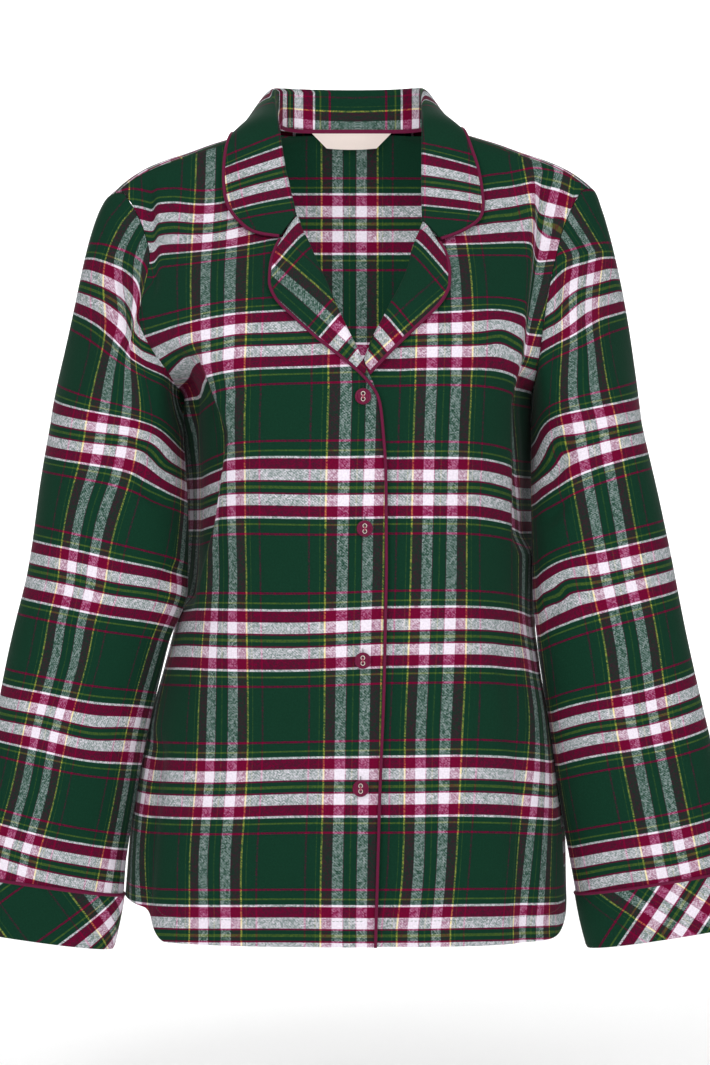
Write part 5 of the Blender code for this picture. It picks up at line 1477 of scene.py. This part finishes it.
# %% A group of nodes that sets a stitch along a line
def stitch_tree():
    tree = bpy.data.node_groups.new("stitches_along_a_line", "GeometryNodeTree")
    for word, kind in (("Geometry", "NodeSocketGeometry"), ("Spacing", "NodeSocketFloat"),
                       ("Length", "NodeSocketFloat"), ("Thickness", "NodeSocketFloat"),
                       ("Turn", "NodeSocketFloat"), ("Seed", "NodeSocketInt"),
                       ("Material", "NodeSocketMaterial")):
        tree.interface.new_socket(word, in_out="INPUT", socket_type=kind)
    tree.interface.new_socket("Geometry", in_out="OUTPUT", socket_type="NodeSocketGeometry")

    def add(kind, links=None, **settings):
        node = tree.nodes.new(kind)
        for word, value in settings.items():
            setattr(node, word, value)
        for word, value in (links or {}).items():
            if isinstance(value, bpy.types.NodeSocket):
                tree.links.new(value, node.inputs[word])
            else:
                node.inputs[word].default_value = value
        return node

    given = add("NodeGroupInput").outputs
    line = add("GeometryNodeMeshToCurve", {"Mesh": given["Geometry"]})
    spots = add("GeometryNodeCurveToPoints", {"Curve": line.outputs[0], "Length": given["Spacing"]},
                mode="LENGTH")
    wobble = add("FunctionNodeRandomValue", {"Min": (-0.05, -0.05, -0.12), "Max": (0.05, 0.05, 0.12),
                                             "Seed": given["Seed"]}, data_type="FLOAT_VECTOR")
    turn = add("ShaderNodeCombineXYZ", {"X": given["Turn"]})
    tilt = add("FunctionNodeRotateEuler", {"Rotation": spots.outputs["Rotation"],
                                           "Rotate By": wobble.outputs[0]}, space="LOCAL")
    tilt = add("FunctionNodeRotateEuler", {"Rotation": tilt.outputs[0],
                                           "Rotate By": turn.outputs[0]}, space="LOCAL")
    bar = add("GeometryNodeMeshUVSphere", {"Segments": 8, "Rings": 6, "Radius": 0.5})
    size = add("ShaderNodeCombineXYZ", {"X": given["Thickness"], "Y": given["Thickness"],
                                        "Z": given["Length"]})
    set_out = add("GeometryNodeInstanceOnPoints",
                  {"Points": spots.outputs[0], "Instance": bar.outputs[0],
                   "Rotation": tilt.outputs[0], "Scale": size.outputs[0]})
    real = add("GeometryNodeRealizeInstances", {"Geometry": set_out.outputs[0]})
    coloured = add("GeometryNodeSetMaterial", {"Geometry": real.outputs[0],
                                               "Material": given["Material"]})
    add("NodeGroupOutput", {"Geometry": coloured.outputs[0]})
    return tree


STITCHES = stitch_tree()


def stitches(name, path, material, spacing, length, thickness, turn=0.0, seed=1):
    """A plain mesh of stitches along a line of points."""
    mesh = bpy.data.meshes.new(name)
    mesh.from_pydata([tuple(map(float, p)) for p in path], [(k, k + 1) for k in range(len(path) - 1)],
                     [])
    piece = bpy.data.objects.new(name, mesh)
    bpy.context.collection.objects.link(piece)
    nodes = piece.modifiers.new("stitches", "NODES")
    nodes.node_group = STITCHES
    values = {"Spacing": spacing, "Length": length, "Thickness": thickness, "Turn": turn,
              "Seed": seed, "Material": material}
    for item in STITCHES.interface.items_tree:
        if item.item_type == "SOCKET" and item.in_out == "INPUT" and item.name in values:
            nodes[item.identifier] = values[item.name]
    bpy.context.view_layer.update()
    shape = bpy.data.meshes.new_from_object(
        piece.evaluated_get(bpy.context.evaluated_depsgraph_get()))
    piece.modifiers.clear()
    piece.data = shape
    shape.shade_smooth()
    print(f"{name}: {len(shape.polygons)} faces")
    return piece


# %% Sew them: across the buttonholes' upper ends, and along the fronts' hems
HEM_ROWS, STITCH_SPACING, STITCH_LENGTH, STITCH_THICK = 7, 0.0030, 0.0021, 0.00032
HOLE_END, HOLE_TOP = 0.0066, 0.0092


def buttonhole(name, x, z):
    heights = np.linspace(z + HOLE_END, z + HOLE_TOP, 8)
    path = on_front(np.full_like(heights, x), heights)
    path = path + front_normals(path) * 0.0002
    return stitches(name, path, BUTTONHOLE, 0.00042, 0.0024, 0.00042, turn=math.pi / 2, seed=3)


def hem_stitches(name, grid, seed):
    """A row of stitches along a panel's hem, a little above its edge."""
    row = grid[-1 - HEM_ROWS, 2:-2]
    out = normals_of(grid)[-1 - HEM_ROWS, 2:-2]
    out = out * np.sign((out[:, 1] * row[:, 1]).sum())
    return stitches(name, row + out * 0.00005, HEM_THREAD, STITCH_SPACING, STITCH_LENGTH,
                    STITCH_THICK, seed=seed)


HEM_THREAD = plain_cloth("hem_thread", (0.020, 0.075, 0.046), scale=2500.0, depth=0.3)
for number, (x, z) in enumerate(BUTTONS, 1):
    buttons[number - 1][1].append(buttonhole(f"buttonhole_{number}", x, z))
hem_right = hem_stitches("right_hem_stitches", right_grid, 5)
hem_left = hem_stitches("left_hem_stitches", left_grid, 8)

# %% [markdown]
# ## Into the shared frame
# Every piece rides on the one body and replaces the solid it was built on.

# %% Ride and replace
def stands_for(piece, slot, *nodes):
    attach(piece, "root")
    for node in nodes:
        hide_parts(node)


SEWN = {"front_right": front_right, "front_left": front_left, "back": back,
        "sleeve_right": sleeve_right, "sleeve_left": sleeve_left, "cuff_right": cuff_right,
        "cuff_left": cuff_left, "collar": collar, "lapel_right": lapel_right,
        "lapel_left": lapel_left}
for node, piece in SEWN.items():
    stands_for(piece, "flannel", node)
for node, cord in cords.items():
    stands_for(cord, "piping", node)
stands_for(tape, "neck_tape", "neck_tape")
stands_for(label, "label", "label")
for number, (piece, extras) in enumerate(buttons, 1):
    stands_for(piece, "button", f"button_{number}")
    for extra in extras:
        stands_for(extra, "button")
for piece in (hem_right, hem_left):
    stands_for(piece, "flannel")

# %% [markdown]
# ## A plain studio
# A white floor sweeps up behind the garment.  Large soft lights from the front light it
# evenly, a weaker one from above gives its folds some shape, and a small one inside the neck
# keeps the back's inner face from going dark.

# %% Floor, lights and camera
def studio_wall():
    profile = [(FLOOR_FRONT, FLOOR), (FLOOR_BACK, FLOOR)]
    profile += [(FLOOR_BACK + SWEEP * math.sin(t), FLOOR + SWEEP * (1 - math.cos(t)))
                for t in np.linspace(0, math.pi / 2, 24)[1:]]
    profile.append((FLOOR_BACK + SWEEP, WALL_TOP))
    points = [(x, y, z) for y, z in profile for x in (-WALL_HALF, WALL_HALF)]
    faces = [[2 * k, 2 * k + 1, 2 * k + 3, 2 * k + 2] for k in range(len(profile) - 1)]
    wall = add_mesh("studio_wall", points, faces, PAPER)


def area_light(name, place, target, size, power, colour=(1.0, 1.0, 1.0)):
    lamp = bpy.data.lights.new(name, "AREA")
    lamp.shape, lamp.size, lamp.energy, lamp.color = "SQUARE", size, power, colour
    piece = bpy.data.objects.new(name, lamp)
    piece.location = place
    piece.rotation_euler = (Vector(target) - Vector(place)).to_track_quat("-Z", "Y").to_euler()
    piece.visible_camera = False
    bpy.context.collection.objects.link(piece)


FLOOR, FLOOR_FRONT, FLOOR_BACK = -0.78, -6.5, 5.4
SWEEP, WALL_TOP, WALL_HALF = 1.2, 5.0, 7.0
PAPER = Shader("white_paper").finish({}, Base_Color=(0.90, 0.90, 0.90, 1.0), Roughness=0.9,
                                     Specular_IOR_Level=0.1, Emission_Strength=0.24,
                                     Emission_Color=(1.0, 1.0, 1.0, 1.0))
studio_wall()
MIDDLE = (0.0, 0.0, -0.33)
area_light("key", (-1.1, -2.8, 1.0), MIDDLE, 1.4, 34)
area_light("fill", (1.2, -2.8, 0.2), MIDDLE, 1.6, 25)
area_light("top", (0.0, -0.6, 2.0), MIDDLE, 1.6, 14)
area_light("backdrop", (0.0, 4.4, 3.2), (0.0, 6.3, -0.5), 3.4, 190)
area_light("back", (-0.6, 2.6, 1.6), MIDDLE, 1.2, 22)
area_light("inside", (0.0, -0.045, -0.145), (0.0, 0.10, -0.11), 0.08, 0.15)

world = bpy.data.worlds.new("studio")
bpy.context.scene.world = world
world.use_nodes = True
world.node_tree.nodes["Background"].inputs["Color"].default_value = (1.0, 1.0, 1.0, 1.0)
world.node_tree.nodes["Background"].inputs["Strength"].default_value = 0.26

camera = bpy.data.cameras.new("front_camera")
camera.lens, camera.sensor_width = 118.3, 36.0
viewer = bpy.data.objects.new("front_camera", camera)
viewer.location = (0.0, -2.8, -0.327)
viewer.rotation_euler = (math.pi / 2, 0.0, 0.0)
bpy.context.collection.objects.link(viewer)
bpy.context.scene.camera = viewer
bpy.context.scene.view_settings.view_transform = "Standard"

# %% The end
print("end of script")
